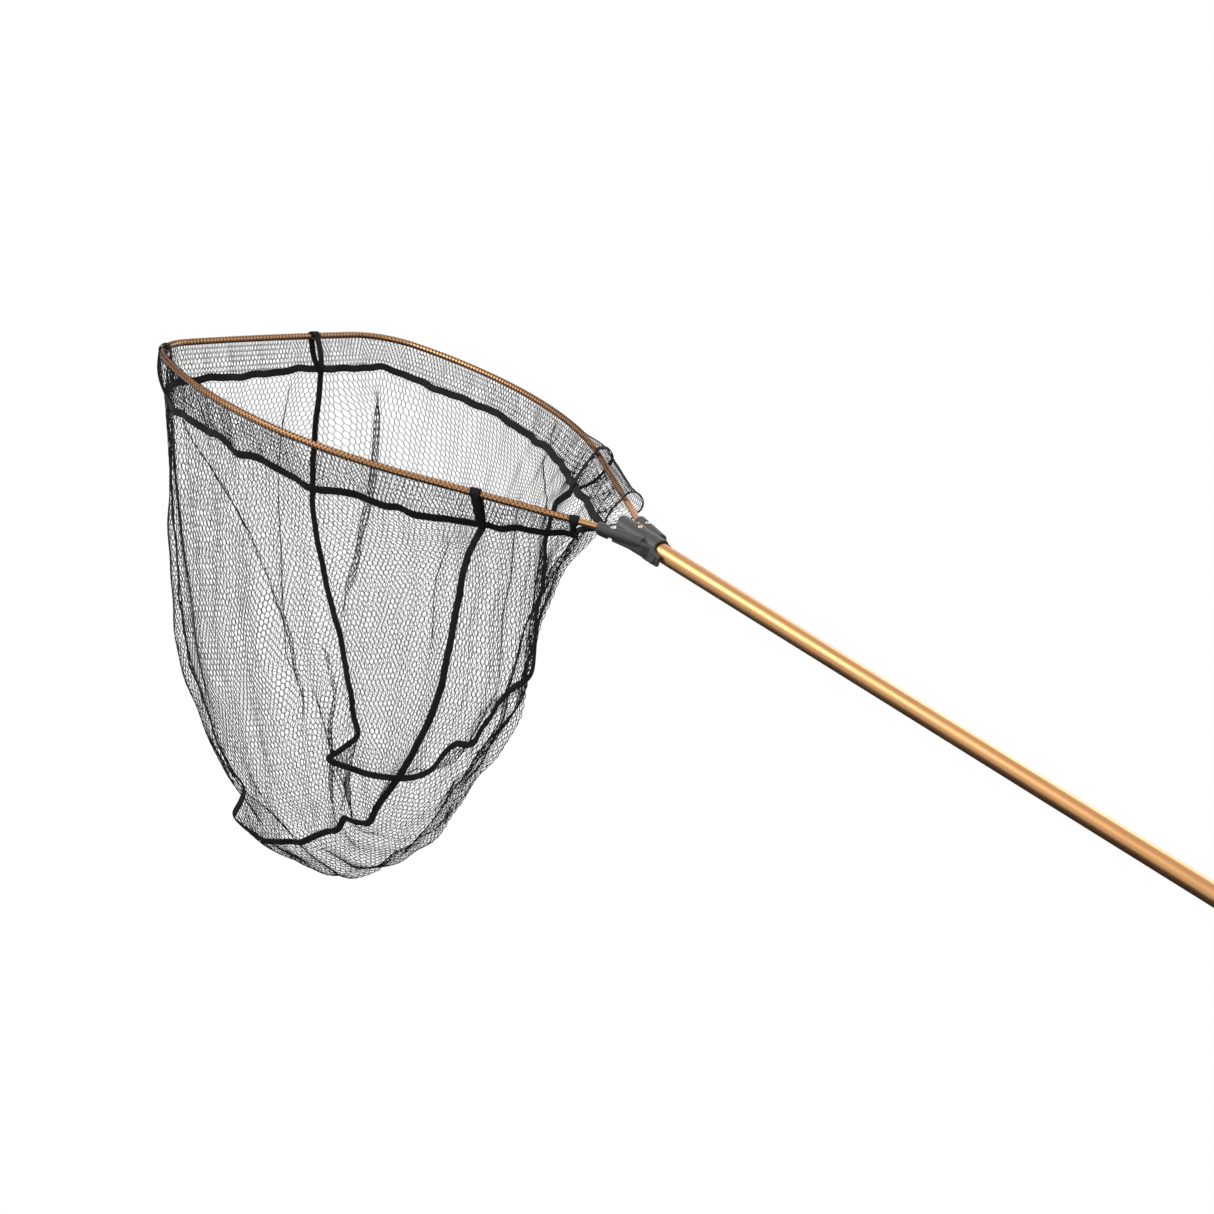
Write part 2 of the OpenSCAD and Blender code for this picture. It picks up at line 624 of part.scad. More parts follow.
function bag_pt(kind, p, q) =
    kind == "near" ? near_pt(p, q) : kind == "far" ? far_pt(p, q) : centre_pt(p, q);
function unit(v) = v / norm(v);
function bag_normal(kind, p, q) = let (e = 0.01) unit(cross(
    bag_pt(kind, p + e, q) - bag_pt(kind, p - e, q),
    bag_pt(kind, p, q + e) - bag_pt(kind, p, q - e)));
function skin_grid(kind, ps, qs, shift) = [for (q = qs) [for (p = ps)
    bag_pt(kind, p, q) + shift * bag_normal(kind, p, q)]];

// Sheet of even thickness between two grids of equally many points
module sheet(a, b) {
    rows = len(a);
    cols = len(a[0]);
    n = rows * cols;
    skin = [for (i = [0 : rows - 2], j = [0 : cols - 2])
        [i * cols + j, (i + 1) * cols + j, (i + 1) * cols + j + 1, i * cols + j + 1]];
    border = concat([for (j = [0 : cols - 2]) j],
        [for (i = [0 : rows - 2]) i * cols + cols - 1],
        [for (j = [cols - 1 : -1 : 1]) (rows - 1) * cols + j],
        [for (i = [rows - 1 : -1 : 1]) i * cols]);
    m = len(border);
    polyhedron(
        points = concat([for (r = a) each r], [for (r = b) each r]),
        faces = concat(
            [for (f = skin) each [[f[0], f[1], f[2]], [f[0], f[2], f[3]]]],
            [for (f = skin) each [[n + f[2], n + f[1], n + f[0]], [n + f[3], n + f[2], n + f[0]]]],
            [for (k = [0 : m - 1]) let (e = border[k], g = border[(k + 1) % m])
                each [[e, g, n + g], [e, n + g, n + e]]]),
        convexity = 8);
}
function spread(from, to, n) = [for (i = [0 : n]) mix(from, to, i / n)];
seam_inset = 0.01;                         // share of a panel's width kept clear of its seams
module panel(kind, q0, q1, across_n, down_n) {
    ps = spread(seam_inset, 1 - seam_inset, across_n);
    qs = spread(q0, q1, down_n);
    color(black) sheet(skin_grid(kind, ps, qs, bag_t / 2), skin_grid(kind, ps, qs, -bag_t / 2));
}
front_share = 0.36;
bottom_share = 0.62;
hair = 0.0004;                             // share of a panel's length kept between two panels
rear_top = 0.996;
module net_front_panel() {
    panel("centre", hair, front_share - hair, 8, 8);
}
module net_bottom_panel() {
    panel("centre", front_share, bottom_share, 8, 8);
}
module net_rear_panel() {
    panel("centre", bottom_share + hair, rear_top, 8, 8);
}
module net_near_panel() {
    panel("near", hair, 1 - seam_inset, 10, 9);
}
module net_far_panel() {
    panel("far", hair, 1 - seam_inset, 10, 9);
}

// Tape along a seam, flat against the bag
seam_steps = 40;
bag_middle = rear_end + [-480, 0, -120];
function seam_ring(line, u) =
    let (p = spline(line, u), d = unit(spline(line, u + 0.004) - spline(line, u - 0.004)),
         r = p - bag_middle, o = unit(r - (r * d) * d) * tape_t / 2,
         e = unit(cross(d, o)) * tape_w / 2)
    [p + o - e, p + o + e, p - o + e, p - o - e];
module seam_tape(line) {
    color(black) sweep([for (u = spread(0.006, 0.994, seam_steps)) seam_ring(line, u)]);
}
module seam_tape_near() {
    seam_tape(near_line);
}
module seam_tape_far() {
    seam_tape(far_line);
}

// Strap folded over the rod and sewn to the net on both sides
loop_w = 14;
function rim_at(i) = let (j = min(floor(i), rim_n - 2)) mix(rim[j], rim[j + 1], i - j);
function strap_pts(s, grow, side) =
    let (t = [s.x + side * cos(s[2]), s.y + side * sin(s[2]), s[2], s[3] + side])
    hairpin(t, hem_r + net_t + grow, -hang(t) - bag_h, tape_t + soft_gap + grow);
module strap(i, width) {
    s = rim_at(i);
    a = strap_pts(s, 2 * soft_gap, -width / 2);
    b = strap_pts(s, 2 * soft_gap, width / 2);
    c = strap_pts(s, 2 * soft_gap + tape_t, width / 2);
    d = strap_pts(s, 2 * soft_gap + tape_t, -width / 2);
    color(black) sweep([for (k = [0 : len(a) - 1]) [a[k], b[k], c[k], d[k]]]);
}
module loop_front_near() {
    strap(near_front_i, loop_w);
}
module loop_front_far() {
    strap(far_front_i, loop_w);
}
module loop_rear_near() {
    strap(near_rear_i, loop_w);
}
module loop_rear_far() {
    strap(far_rear_i, loop_w);
}

// Bindings that close the two ends of the sleeve
end_w = 9;
end_i = 0.15;
module sleeve_end_near() {
    strap(rim_n - 1 - end_i, end_w);
}
module sleeve_end_far() {
    strap(end_i, end_w);
}

outer_tube();
tube_plug();
hinge_pin();
pin_washers();
spreader_block();
hoop();
hoop_rivets();
lock_button();
button_spring();
button_seat();
inner_tube();
slide_bush();
collet();
twist_collar();
grip();
butt_cap();
net_sleeve();
rim_tape();
net_front_panel();
net_rear_panel();
net_near_panel();
net_far_panel();
net_bottom_panel();
seam_tape_near();
seam_tape_far();
loop_front_near();
loop_front_far();
loop_rear_near();
loop_rear_far();
sleeve_end_near();
sleeve_end_far();
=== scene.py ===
"""Looks of a landing net, built round its packed construction frame.

Lengths inside the shape classes are in millimetres in the row frame; meshes are written in metres.
"""

import json
import logging
import math
from dataclasses import dataclass
from enum import Enum
from typing import Callable, Sequence

import bpy
import numpy as np
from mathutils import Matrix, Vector

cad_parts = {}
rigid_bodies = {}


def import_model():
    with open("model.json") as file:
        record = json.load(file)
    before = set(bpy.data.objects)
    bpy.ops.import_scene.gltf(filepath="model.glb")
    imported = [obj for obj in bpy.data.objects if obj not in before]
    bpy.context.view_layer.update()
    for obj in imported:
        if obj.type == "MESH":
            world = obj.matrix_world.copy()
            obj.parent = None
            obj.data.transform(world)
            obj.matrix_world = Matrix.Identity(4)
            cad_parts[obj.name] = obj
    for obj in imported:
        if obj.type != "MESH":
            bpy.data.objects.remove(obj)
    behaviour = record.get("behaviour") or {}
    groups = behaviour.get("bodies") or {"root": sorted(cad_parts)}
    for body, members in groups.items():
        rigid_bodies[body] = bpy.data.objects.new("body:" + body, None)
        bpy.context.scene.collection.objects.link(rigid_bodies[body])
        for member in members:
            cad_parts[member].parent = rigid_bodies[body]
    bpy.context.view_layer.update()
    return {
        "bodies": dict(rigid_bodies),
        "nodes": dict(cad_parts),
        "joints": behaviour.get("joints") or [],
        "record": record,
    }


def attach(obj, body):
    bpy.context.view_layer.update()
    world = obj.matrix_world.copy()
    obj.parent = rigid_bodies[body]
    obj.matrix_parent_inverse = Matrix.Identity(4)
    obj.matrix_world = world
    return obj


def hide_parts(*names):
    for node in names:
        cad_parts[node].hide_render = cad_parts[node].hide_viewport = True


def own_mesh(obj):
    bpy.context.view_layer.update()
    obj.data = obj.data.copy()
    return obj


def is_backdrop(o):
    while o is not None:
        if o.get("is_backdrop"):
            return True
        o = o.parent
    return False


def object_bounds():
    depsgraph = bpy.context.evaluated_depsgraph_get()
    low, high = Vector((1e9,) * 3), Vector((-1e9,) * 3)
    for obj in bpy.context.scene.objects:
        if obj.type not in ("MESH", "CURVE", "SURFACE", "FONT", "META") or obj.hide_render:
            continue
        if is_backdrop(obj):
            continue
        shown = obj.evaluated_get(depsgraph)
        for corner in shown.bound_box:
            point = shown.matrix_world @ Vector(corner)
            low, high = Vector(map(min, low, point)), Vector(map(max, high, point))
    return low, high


LOG = logging.getLogger("landing_net")
MM = 0.001
HEAD = "head"
Array = np.ndarray
Triple = tuple[float, float, float]
Colour = Triple


# ---------------------------------------------------------------- numpy helpers
def unit(v: Array) -> Array:
    """Vectors scaled to length one along the last axis."""
    return v / np.maximum(np.linalg.norm(v, axis=-1, keepdims=True), 1e-12)


def mix(a: Array, b: Array, u: Array) -> Array:
    """Straight mix of a and b: (1 - u) a + u b."""
    return a * (1 - u) + b * u


def smoothstep(x: Array, low: float, high: float) -> Array:
    """Smooth rise from 0 at low to 1 at high: 3t^2 - 2t^3."""
    t = np.clip((x - low) / (high - low), 0, 1)
    return t * t * (3 - 2 * t)


def ripple(x: Array, waves: Sequence[tuple[float, float, float]]) -> Array:
    """Sum of sines of x.

    Args:
        x: positions in mm.
        waves: (length in mm, height in mm, phase in turns) of each sine.
    """
    return sum(h * np.sin(2 * np.pi * (x / w + ph)) for w, h, ph in waves)


def spline(points: Array, u: Array) -> Array:
    """Catmull-Rom line through the points, with u from 0 to 1 over equal steps of the list.

    Args:
        points: (n, 3) control points.
        u: any shape.

    Returns:
        Points of shape u.shape + (3,).
    """
    pts = np.vstack([2 * points[0] - points[1], points, 2 * points[-1] - points[-2]])
    n = len(points) - 1
    i = np.clip(np.floor(u * n), 0, n - 1).astype(int)
    v = (u * n - i)[..., None]
    a, b, c, e = pts[i], pts[i + 1], pts[i + 2], pts[i + 3]
    return b + v / 2 * (
        c - a + v * (2 * a - 5 * b + 4 * c - e + v * (3 * b - a - 3 * c + e))
    )


# ---------------------------------------------------------------- meshes
def new_mesh(
    name: str, verts: Array, faces: Sequence[Array], uv: Array | None = None
) -> bpy.types.Object:
    """Smooth-shaded mesh object at the origin.

    Args:
        name: name of the piece.
        verts: (n, 3) points in mm, row frame.
        faces: arrays of shape (m, k), each with faces of k corners, outward order.
        uv: (n, 2) coordinates of the vertices, in mm on the surface.
    """
    mesh = bpy.data.meshes.new(name)
    corners = np.concatenate([f.ravel() for f in faces]).astype(np.int32)
    sizes = np.concatenate([np.full(len(f), f.shape[1]) for f in faces])
    starts = np.concatenate([[0], np.cumsum(sizes)[:-1]]).astype(np.int32)
    mesh.vertices.add(len(verts))
    mesh.vertices.foreach_set("co", (verts * MM).astype(np.float32).ravel())
    mesh.loops.add(len(corners))
    mesh.loops.foreach_set("vertex_index", corners)
    mesh.polygons.add(len(sizes))
    mesh.polygons.foreach_set("loop_start", starts)
    mesh.update(calc_edges=True)
    mesh.polygons.foreach_set("use_smooth", np.ones(len(sizes), bool))
    if uv is not None:
        layer = mesh.uv_layers.new(name="surface_mm")
        layer.data.foreach_set("uv", uv[corners].astype(np.float32).ravel())
    obj = bpy.data.objects.new(name, mesh)
    bpy.context.scene.collection.objects.link(obj)
    return obj


def grid_faces(rows: int, cols: int, close_rows: bool, close_cols: bool) -> Array:
    """Quads between neighbouring rows and columns of a grid of points."""
    i = np.arange(rows if close_rows else rows - 1)
    j = np.arange(cols if close_cols else cols - 1)
    i, j = (g.ravel() for g in np.meshgrid(i, j, indexing="ij"))
    i2, j2 = (i + 1) % rows, (j + 1) % cols
    return np.stack(
        [i * cols + j, i * cols + j2, i2 * cols + j2, i2 * cols + j], axis=1
    )


def sweep(
    path: Array, side: Array, up: Array, profile: Array, closed: bool = False
) -> tuple[Array, list[Array]]:
    """Profile carried along a path: point = path + side * x + up * y.

    Args:
        path: (n, 3) centre line.
        side: (n, 3) unit vectors for the profile's x.
        up: (n, 3) unit vectors for the profile's y.
        profile: (m, 2), or (n, m, 2) where it changes along the path; anticlockwise.
        closed: the path's end joins its beginning.

    Returns:
        Vertices and face arrays, with a flat cap at each end of an open path.
    """
    prof = np.broadcast_to(profile, (len(path),) + profile.shape[-2:])
    verts = (
        path[:, None]
        + side[:, None] * prof[..., 0:1]
        + up[:, None] * prof[..., 1:2]
    )
    n, m = verts.shape[:2]
    faces = [grid_faces(n, m, closed, True)]
    if not closed:
        first = np.arange(m)[::-1]
        last = np.arange(m) + (n - 1) * m
        faces.append(np.stack([first, last]))
    forward = np.gradient(path, axis=0)
    if np.mean(np.einsum("ij,ij->i", np.cross(side, up), forward)) < 0:
        faces = [f[:, ::-1] for f in faces]
    return verts.reshape(-1, 3), faces


def circle(sides: int, radius: float = 1.0) -> Array:
    """Regular polygon of that many sides, anticlockwise."""
    a = 2 * np.pi * np.arange(sides) / sides
    return radius * np.stack([np.cos(a), np.sin(a)], axis=1)


# ---------------------------------------------------------------- frame of the object
@dataclass(frozen=True)
class Posture:
    """How the handle and the hoop stand in the row frame."""

    pitch: float = math.radians(20)
    droop: float = math.radians(3.2)
    grip_mid: float = 971.0
    tilt_f: float = 111.0

    @staticmethod
    def _turn(p: Array, a: float) -> Array:
        """Points turned about +Y: x cos a + z sin a, y, z cos a - x sin a."""
        x, y, z = np.moveaxis(p, -1, 0)
        return np.stack(
            [x * math.cos(a) + z * math.sin(a), y, z * math.cos(a) - x * math.sin(a)],
            axis=-1,
        )

    def handle(self, p: Array) -> Array:
        """From the handle frame (x to the butt, origin at the block's rear end) to the row frame."""
        return self._turn(p - np.array([self.grip_mid, 0, 0]), self.pitch)

    def head(self, p: Array) -> Array:
        """From the hoop's plane to the row frame."""
        shift = np.array([self.tilt_f, 0, 0])
        return self.handle(self._turn(p + shift, -self.droop) - shift)

    @property
    def hoop_normal(self) -> Array:
        """Unit normal of the hoop's plane, upwards, in the row frame."""
        return unit(self.head(np.array([0, 0, 1.0])) - self.head(np.zeros(3)))


@dataclass(frozen=True)
class HoopLine:
    """Outline of the rod in its own plane, from the far barrel mouth to the near one."""

    posture: Posture
    mouth: tuple[float, float] = (79.0, 39.0)
    side_angle: float = math.radians(33.2)
    straight: float = 223.0
    side_r: float = 490.0
    side_turn: float = math.radians(52.7)
    corner_r: float = 81.0
    corner_turn: float = math.radians(67.8)

    def _bends(self) -> tuple[Array, Array]:
        """Lengths and curvatures of the straight, the bow, the corner and the front."""
        h = self.side_angle
        g = self.mouth[1] + self.straight * math.sin(h)
        for r, turn in ((self.side_r, self.side_turn), (self.corner_r, self.corner_turn)):
            g += r * (math.cos(h - turn) - math.cos(h))
            h -= turn
        front_r = g / math.cos(h)
        lengths = [
            self.straight,
            self.side_r * self.side_turn,
            self.corner_r * self.corner_turn,
            front_r * (h + math.pi / 2),
        ]
        curves = [0.0, -1 / self.side_r, -1 / self.corner_r, -1 / front_r]
        return np.array(lengths), np.array(curves)

    @property
    def half_length(self) -> float:
        """Length of rod from a barrel mouth to the middle of the front."""
        return float(self._bends()[0].sum())

    def _half(self, s: Array) -> tuple[Array, Array, Array]:
        """Forward, sideways and heading at arc length s of the far half.

        Each bend starts where the last one ended; along it the heading changes by
        curvature times length, and the place by the integral of its cosine and sine.
        """
        lengths, curves = self._bends()
        starts = np.concatenate([[0], np.cumsum(lengths)])
        f, g, h = [self.mouth[0]], [self.mouth[1]], [self.side_angle]
        for length, k in zip(lengths, curves):
            if k == 0:
                f.append(f[-1] + length * math.cos(h[-1]))
                g.append(g[-1] + length * math.sin(h[-1]))
                h.append(h[-1])
            else:
                h2 = h[-1] + k * length
                f.append(f[-1] + (math.sin(h2) - math.sin(h[-1])) / k)
                g.append(g[-1] - (math.cos(h2) - math.cos(h[-1])) / k)
                h.append(h2)
        i = np.clip(np.searchsorted(starts, s, side="right") - 1, 0, len(lengths) - 1)
        f0, g0, h0 = np.array(f)[i], np.array(g)[i], np.array(h)[i]
        k, ds = curves[i], s - starts[i]
        h1 = h0 + k * ds
        safe = np.where(k == 0, 1.0, k)
        df = np.where(k == 0, ds * np.cos(h0), (np.sin(h1) - np.sin(h0)) / safe)
        dg = np.where(k == 0, ds * np.sin(h0), -(np.cos(h1) - np.cos(h0)) / safe)
        return f0 + df, g0 + dg, h1

    def at(self, s: Array) -> tuple[Array, Array, Array]:
        """Point, direction of travel and outward normal at arc length s.

        Returns:
            Row-frame arrays. The normal is level: it lies in plan.
        """
        s = np.asarray(s, float)
        half = self.half_length
        near = s > half
        f, g, h = self._half(np.where(near, 2 * half - s, s))
        sign = np.where(near, -1.0, 1.0)
        zero = np.zeros_like(f)
        origin = self.posture.head(np.zeros(3))
        point = self.posture.head(np.stack([-f, sign * g, zero], axis=-1))
        travel = np.stack([-sign * np.cos(h), np.sin(h), zero], axis=-1)
        travel = self.posture.head(travel) - origin
        normal = self.posture.head(
            np.stack([np.sin(h), sign * np.cos(h), zero], axis=-1)
        ) - origin
        normal[..., 2] = 0
        return point, unit(travel), unit(normal)


# ---------------------------------------------------------------- rim of the net
@dataclass(frozen=True)
class Tuck:
    """A place where the rim tape steps up or down over a short length."""

    at: float
    width: float
    drop: float


@dataclass(frozen=True)
class Rim:
    """The closed line of the rim tape, below the sleeve that hangs from the rod.

    Positions t run in mm from the sleeve's far end over the front to its near end, and
    then across the open rear, back to the far end.
    """

    hoop: HoopLine
    near_start: float = 22.0
    far_start: float = 58.0
    hang_length: float = 48.0
    rear_bow: float = 20.0
    tape_w: float = 9.0
    gap: float = 0.4
    lean_at: tuple[tuple[float, float], ...] = (
        (0, 45), (0.1, 42), (0.25, 18), (0.37, 26), (0.46, 10), (0.56, 2), (0.6, -3), (0.64, 2),
        (0.75, 14), (0.93, 30), (1, 42),
    )
    hang_at: tuple[tuple[float, float], ...] = (
        (0, 0.75), (0.1, 1), (0.2, 0.86), (0.5, 0.86), (0.58, 1), (0.65, 1.05), (0.85, 1.04),
        (0.93, 0.9), (1, 0.45),
    )
    waves: tuple[tuple[float, float, float], ...] = (
        (173, 1.6, 0.1), (71, 1.0, 0.35), (37, 0.6, 0.8),
    )
    tucks: tuple[Tuck, ...] = (
        Tuck(1215, 14, -7), Tuck(1248, 6, 8), Tuck(1350, 25, 5), Tuck(1412, 8, -8),
        Tuck(1450, 20, 3), Tuck(560, 20, 2), Tuck(620, 25, -2),
    )

    @property
    def sleeve_length(self) -> float:
        """Length of the sleeve along the rod."""
        return 2 * self.hoop.half_length - self.near_start - self.far_start

    def _table(self, rows: Sequence[tuple[float, float]], u: Array) -> Array:
        """Smoothed lookup: the mean of the straight-line table over a short window of u."""
        x, y = np.array(rows, float).T
        offsets = np.linspace(-0.04, 0.04, 9)
        return np.mean([np.interp(u + o, x, y) for o in offsets], axis=0)

    def lean(self, t: Array) -> Array:
        """Lean of the sleeve from the vertical, inwards, in radians."""
        return np.radians(self._table(self.lean_at, t / self.sleeve_length))

    def hang(self, t: Array) -> Array:
        """Distance from the rod's middle to the sleeve's lower end."""
        return self.hang_length * self._table(self.hang_at, t / self.sleeve_length)

    def drop(self, t: Array) -> Array:
        """How much lower than the even line the tape runs: small waves and tucks."""
        fade = smoothstep(t, 0, 60) * (1 - smoothstep(t, self.sleeve_length - 60, self.sleeve_length))
        steps = sum(k.drop * (1 + np.tanh((t - k.at) / k.width)) / 2 for k in self.tucks)
        return fade * (ripple(t, self.waves) + steps)

    def sway(self, t: Array) -> Array:
        """How far the tape swings out and in across the sleeve."""
        return ripple(t, ((131, 2.2, 0.6), (53, 1.4, 0.2), (29, 0.5, 0.5)))

    def section(self, t: Array, o: Array, h: Array) -> Array:
        """Point of the leaning section at t: o across, h up from the rod's middle."""
        point, _, normal = self.hoop.at(t + self.far_start)
        a = self.lean(t)
        out = o * np.cos(a) + h * np.sin(a)
        up = h * np.cos(a) - o * np.sin(a)
        return point + normal * out[..., None] + up[..., None] * np.array([0, 0, 1.0])

    def _below(self, t: Array, o: Array, h: Array) -> Array:
        """Point below the sleeve: h further down its section than its lower end."""
        return self.section(t, o + self.sway(t), -self.hang(t) - self.drop(t) - h)

    @property
    def rear_length(self) -> float:
        """Length of the open rear between the sleeve's two ends."""
        ends = self._below(np.array([0.0, self.sleeve_length]), np.zeros(2), np.zeros(2))
        return float(np.linalg.norm(ends[1] - ends[0]))

    @property
    def length(self) -> float:
        """Length of the whole closed rim."""
        return self.sleeve_length + self.rear_length

    def edge(self, t: Array, o: float = 0.0, h: float = 0.0) -> Array:
        """Point of the rim at t, o across and h below the sleeve's lower end.

        Across the rear it is the straight mix of the sleeve's two ends, bowed forward.
        """
        t = np.mod(np.asarray(t, float), self.length)
        end = self.sleeve_length
        along = self._below(np.minimum(t, end), np.full_like(t, o), np.full_like(t, h))
        v = np.clip((t - end) / self.rear_length, 0, 1)[..., None]
        a = self._below(np.array(end), np.array(o), np.array(h))
        b = self._below(np.array(0.0), np.array(o), np.array(h))
        rear = mix(a, b, v) - 4 * self.rear_bow * v * (1 - v) * np.array([1.0, 0, 0])
        return np.where(v > 0, rear, along)


# ---------------------------------------------------------------- the bag
class Panel(Enum):
    """The three pieces of netting that the bag is cut from."""

    NEAR = "near"
    FAR = "far"
    CENTRE = "centre"


@dataclass(frozen=True)
class Fold:
    """A crease in hanging netting, along a line of (x, depth) in its panel's flat coordinates."""

    line: tuple[tuple[float, float], ...]
    width: float
    overlap: float
    height: float

    def offset(self, x: Array, y: Array) -> tuple[Array, Array]:
        """Sideways shift and height of the netting at flat point (x, y).

        The shift is -overlap tanh(d / width), fading with distance d from the crease, so
        that the netting doubles back where overlap is larger than width.
        """
        xs, ys = np.array(self.line, float).T
        d = x - np.interp(y, ys, xs)
        run = 25.0
        window = smoothstep(y, ys[0] - run, ys[0] + run) * (
            1 - smoothstep(y, ys[-1] - 2 * run, ys[-1] + run)
        )
        shift = -self.overlap * np.tanh(d / self.width) * np.exp(-((d / 70) ** 2))
        rise = self.height * np.exp(-((d / (2.2 * self.width)) ** 2))
        return shift * window, rise * window


@dataclass(frozen=True)
class Wrinkle:
    """A place where a seam is pushed aside, by shift at its middle."""

    at: float
    width: float
    shift: Triple


@dataclass(frozen=True)
class Bag:
    """Surface of the bag: two side panels and a centre panel between two seams."""

    rim: Rim
    low: float = 500.0
    half_w: float = 100.0
    near_turns: tuple[float, float] = (0.42, 0.7)
    far_turns: tuple[float, float] = (0.4, 0.62)
    fullness: float = 0.65
    near_wrinkles: tuple[Wrinkle, ...] = (
        Wrinkle(0.245, 0.02, (6, 0, 0)), Wrinkle(0.34, 0.02, (14, 0, 0)),
        Wrinkle(0.395, 0.028, (-30, 0, -4)), Wrinkle(0.52, 0.02, (0, 0, -4)),
        Wrinkle(0.61, 0.013, (-5, 0, 11)), Wrinkle(0.65, 0.016, (4, 0, -8)),
    )
    far_wrinkles: tuple[Wrinkle, ...] = (
        Wrinkle(0.22, 0.03, (6, 0, 0)), Wrinkle(0.345, 0.022, (24, 0, 2)),
        Wrinkle(0.405, 0.022, (-34, 0, -4)), Wrinkle(0.615, 0.026, (2, 0, 20)),
        Wrinkle(0.65, 0.014, (4, 0, -6)), Wrinkle(0.755, 0.03, (18, 0, -22)),
    )

    @property
    def band(self) -> float:
        """Depth of the rim tape and the gaps round it."""
        return self.rim.tape_w + 2 * self.rim.gap

    def stations(self) -> dict[str, float]:
        """Rim positions of the four strap loops."""
        hoop = self.rim.hoop
        lengths = hoop._bends()[0]
        side = hoop.straight + lengths[1]
        front = side + lengths[2]
        far = self.rim.far_start
        total = 2 * hoop.half_length
        return {
            "far_rear": hoop.straight - far,
            "far_front": front + 0.463 * lengths[3] - far,
            "near_front": total - side - lengths[2] * 3 / 7 - far,
            "near_rear": total - mix(self.rim.near_start, hoop.straight, 0.6) - far,
        }

    def _rim(self, t: Array) -> Array:
        """Upper edge of the netting at rim position t."""
        return self.rim.edge(t, 0.0, self.band)

    def lines(self) -> tuple[Array, Array, Array]:
        """Control points of the near seam, the far seam and the middle line, front to rear."""
        w, low, at = self.half_w, self.low, self.stations()
        rear = self.rim.hoop.posture.handle(np.zeros(3))
        near = [
            (-718, -168, -50), (-725, -145, -215), (-675, -w - 15, -370),
            (-635, -w - 2, 55 - low), (-510, -w, 85 - low), (-400, -w - 1, 140 - low),
            (-275, -w - 10, -210), (-215, -w - 12, -30),
        ]
        far = [
            (-762, w, -10), (-735, w + 10, -175), (-690, w + 5, -300), (-705, w, 118 - low),
            (-610, w, 107 - low), (-500, w + 2, 140 - low), (-400, w + 17, -258),
            (-338, w + 30, -120), (-325, w + 44, 0),
        ]
        mid = [
            (-792, -42, -60), (-774, -25, -285), (-652, -10, 52 - low), (-535, 0, 12 - low),
            (-442, 0, 56 - low), (-360, 0, -364), (-255, 0, -228), (-212, 5, -95),
        ]
        length = self.rim.length
        ends = (
            (at["near_front"], at["near_rear"]),
            (at["far_front"], length + at["far_rear"]),
            ((at["near_front"] + at["far_front"]) / 2,
             (at["near_rear"] + length + at["far_rear"]) / 2),
        )
        return tuple(
            np.vstack([self._rim(np.array(a)), rear + np.array(body, float),
                       self._rim(np.array(b))])
            for body, (a, b) in zip((near, far, mid), ends)
        )

    def seam(self, panel: Panel, u: Array) -> Array:
        """Seam of a side panel: its smooth line plus a bell-shaped push at each wrinkle."""
        near, far, _ = self.lines()
        line, wrinkles = (
            (near, self.near_wrinkles) if panel is Panel.NEAR else (far, self.far_wrinkles)
        )
        point = spline(line, u)
        for w in wrinkles:
            point = point + np.exp(-(((u - w.at) / w.width) ** 2))[..., None] * np.array(w.shift)
        return point

    def _patch(
        self, p: Array, q: Array, top: Callable, bottom: Callable, left: Callable, right: Callable
    ) -> Array:
        """Coons patch: the mix of both pairs of edges less the mix of the four corners."""
        zero, one = np.zeros_like(p), np.ones_like(p)
        p3, q3 = p[..., None], q[..., None]
        return (
            top(p) * (1 - q3) + bottom(p) * q3 + left(q) * (1 - p3) + right(q) * p3
            - (left(zero) * (1 - p3) + right(zero) * p3) * (1 - q3)
            - (left(one) * (1 - p3) + right(one) * p3) * q3
        )

    def base(self, panel: Panel, p: Array, q: Array) -> Array:
        """Smooth shape of a panel, p from 0 to 1 across and q from 0 to 1 down."""
        mid = self.lines()[2]
        at, length = self.stations(), self.rim.length
        if panel is Panel.CENTRE:
            def flat(p: Array, q: Array) -> Array:
                """Patch between both seams and both ends of the rim."""
                return self._patch(
                    p, q,
                    lambda v: self._rim(mix(at["near_front"], at["far_front"], v)),
                    lambda v: self._rim(mix(at["near_rear"], length + at["far_rear"], v)),
                    lambda v: self.seam(Panel.NEAR, v), lambda v: self.seam(Panel.FAR, v))
            middle = spline(mid, q) - flat(np.full_like(q, 0.5), q)
            round_p = np.clip(4 * p * (1 - p), 0, 1) ** self.fullness
            return flat(p, q) + round_p[..., None] * middle
        (u1, u2), t1, t2 = (
            (self.near_turns, at["near_front"], at["near_rear"])
            if panel is Panel.NEAR
            else (self.far_turns, at["far_front"], at["far_rear"])
        )
        return self._patch(
            p, q,
            lambda v: self._rim(mix(t1, t2, v)),
            lambda v: self.seam(panel, mix(u1, u2, v)),
            lambda v: self.seam(panel, v * u1),
            lambda v: self.seam(panel, 1 - v * (1 - u2)))

    def normal(self, panel: Panel, p: Array, q: Array) -> Array:
        """Outward unit normal, from differences a hundredth of the panel apart."""
        e = 0.01
        du = self.base(panel, p + e, q) - self.base(panel, p - e, q)
        dv = self.base(panel, p, q + e) - self.base(panel, p, q - e)
        n = unit(np.cross(du, dv))
        return -n if panel is Panel.FAR else n


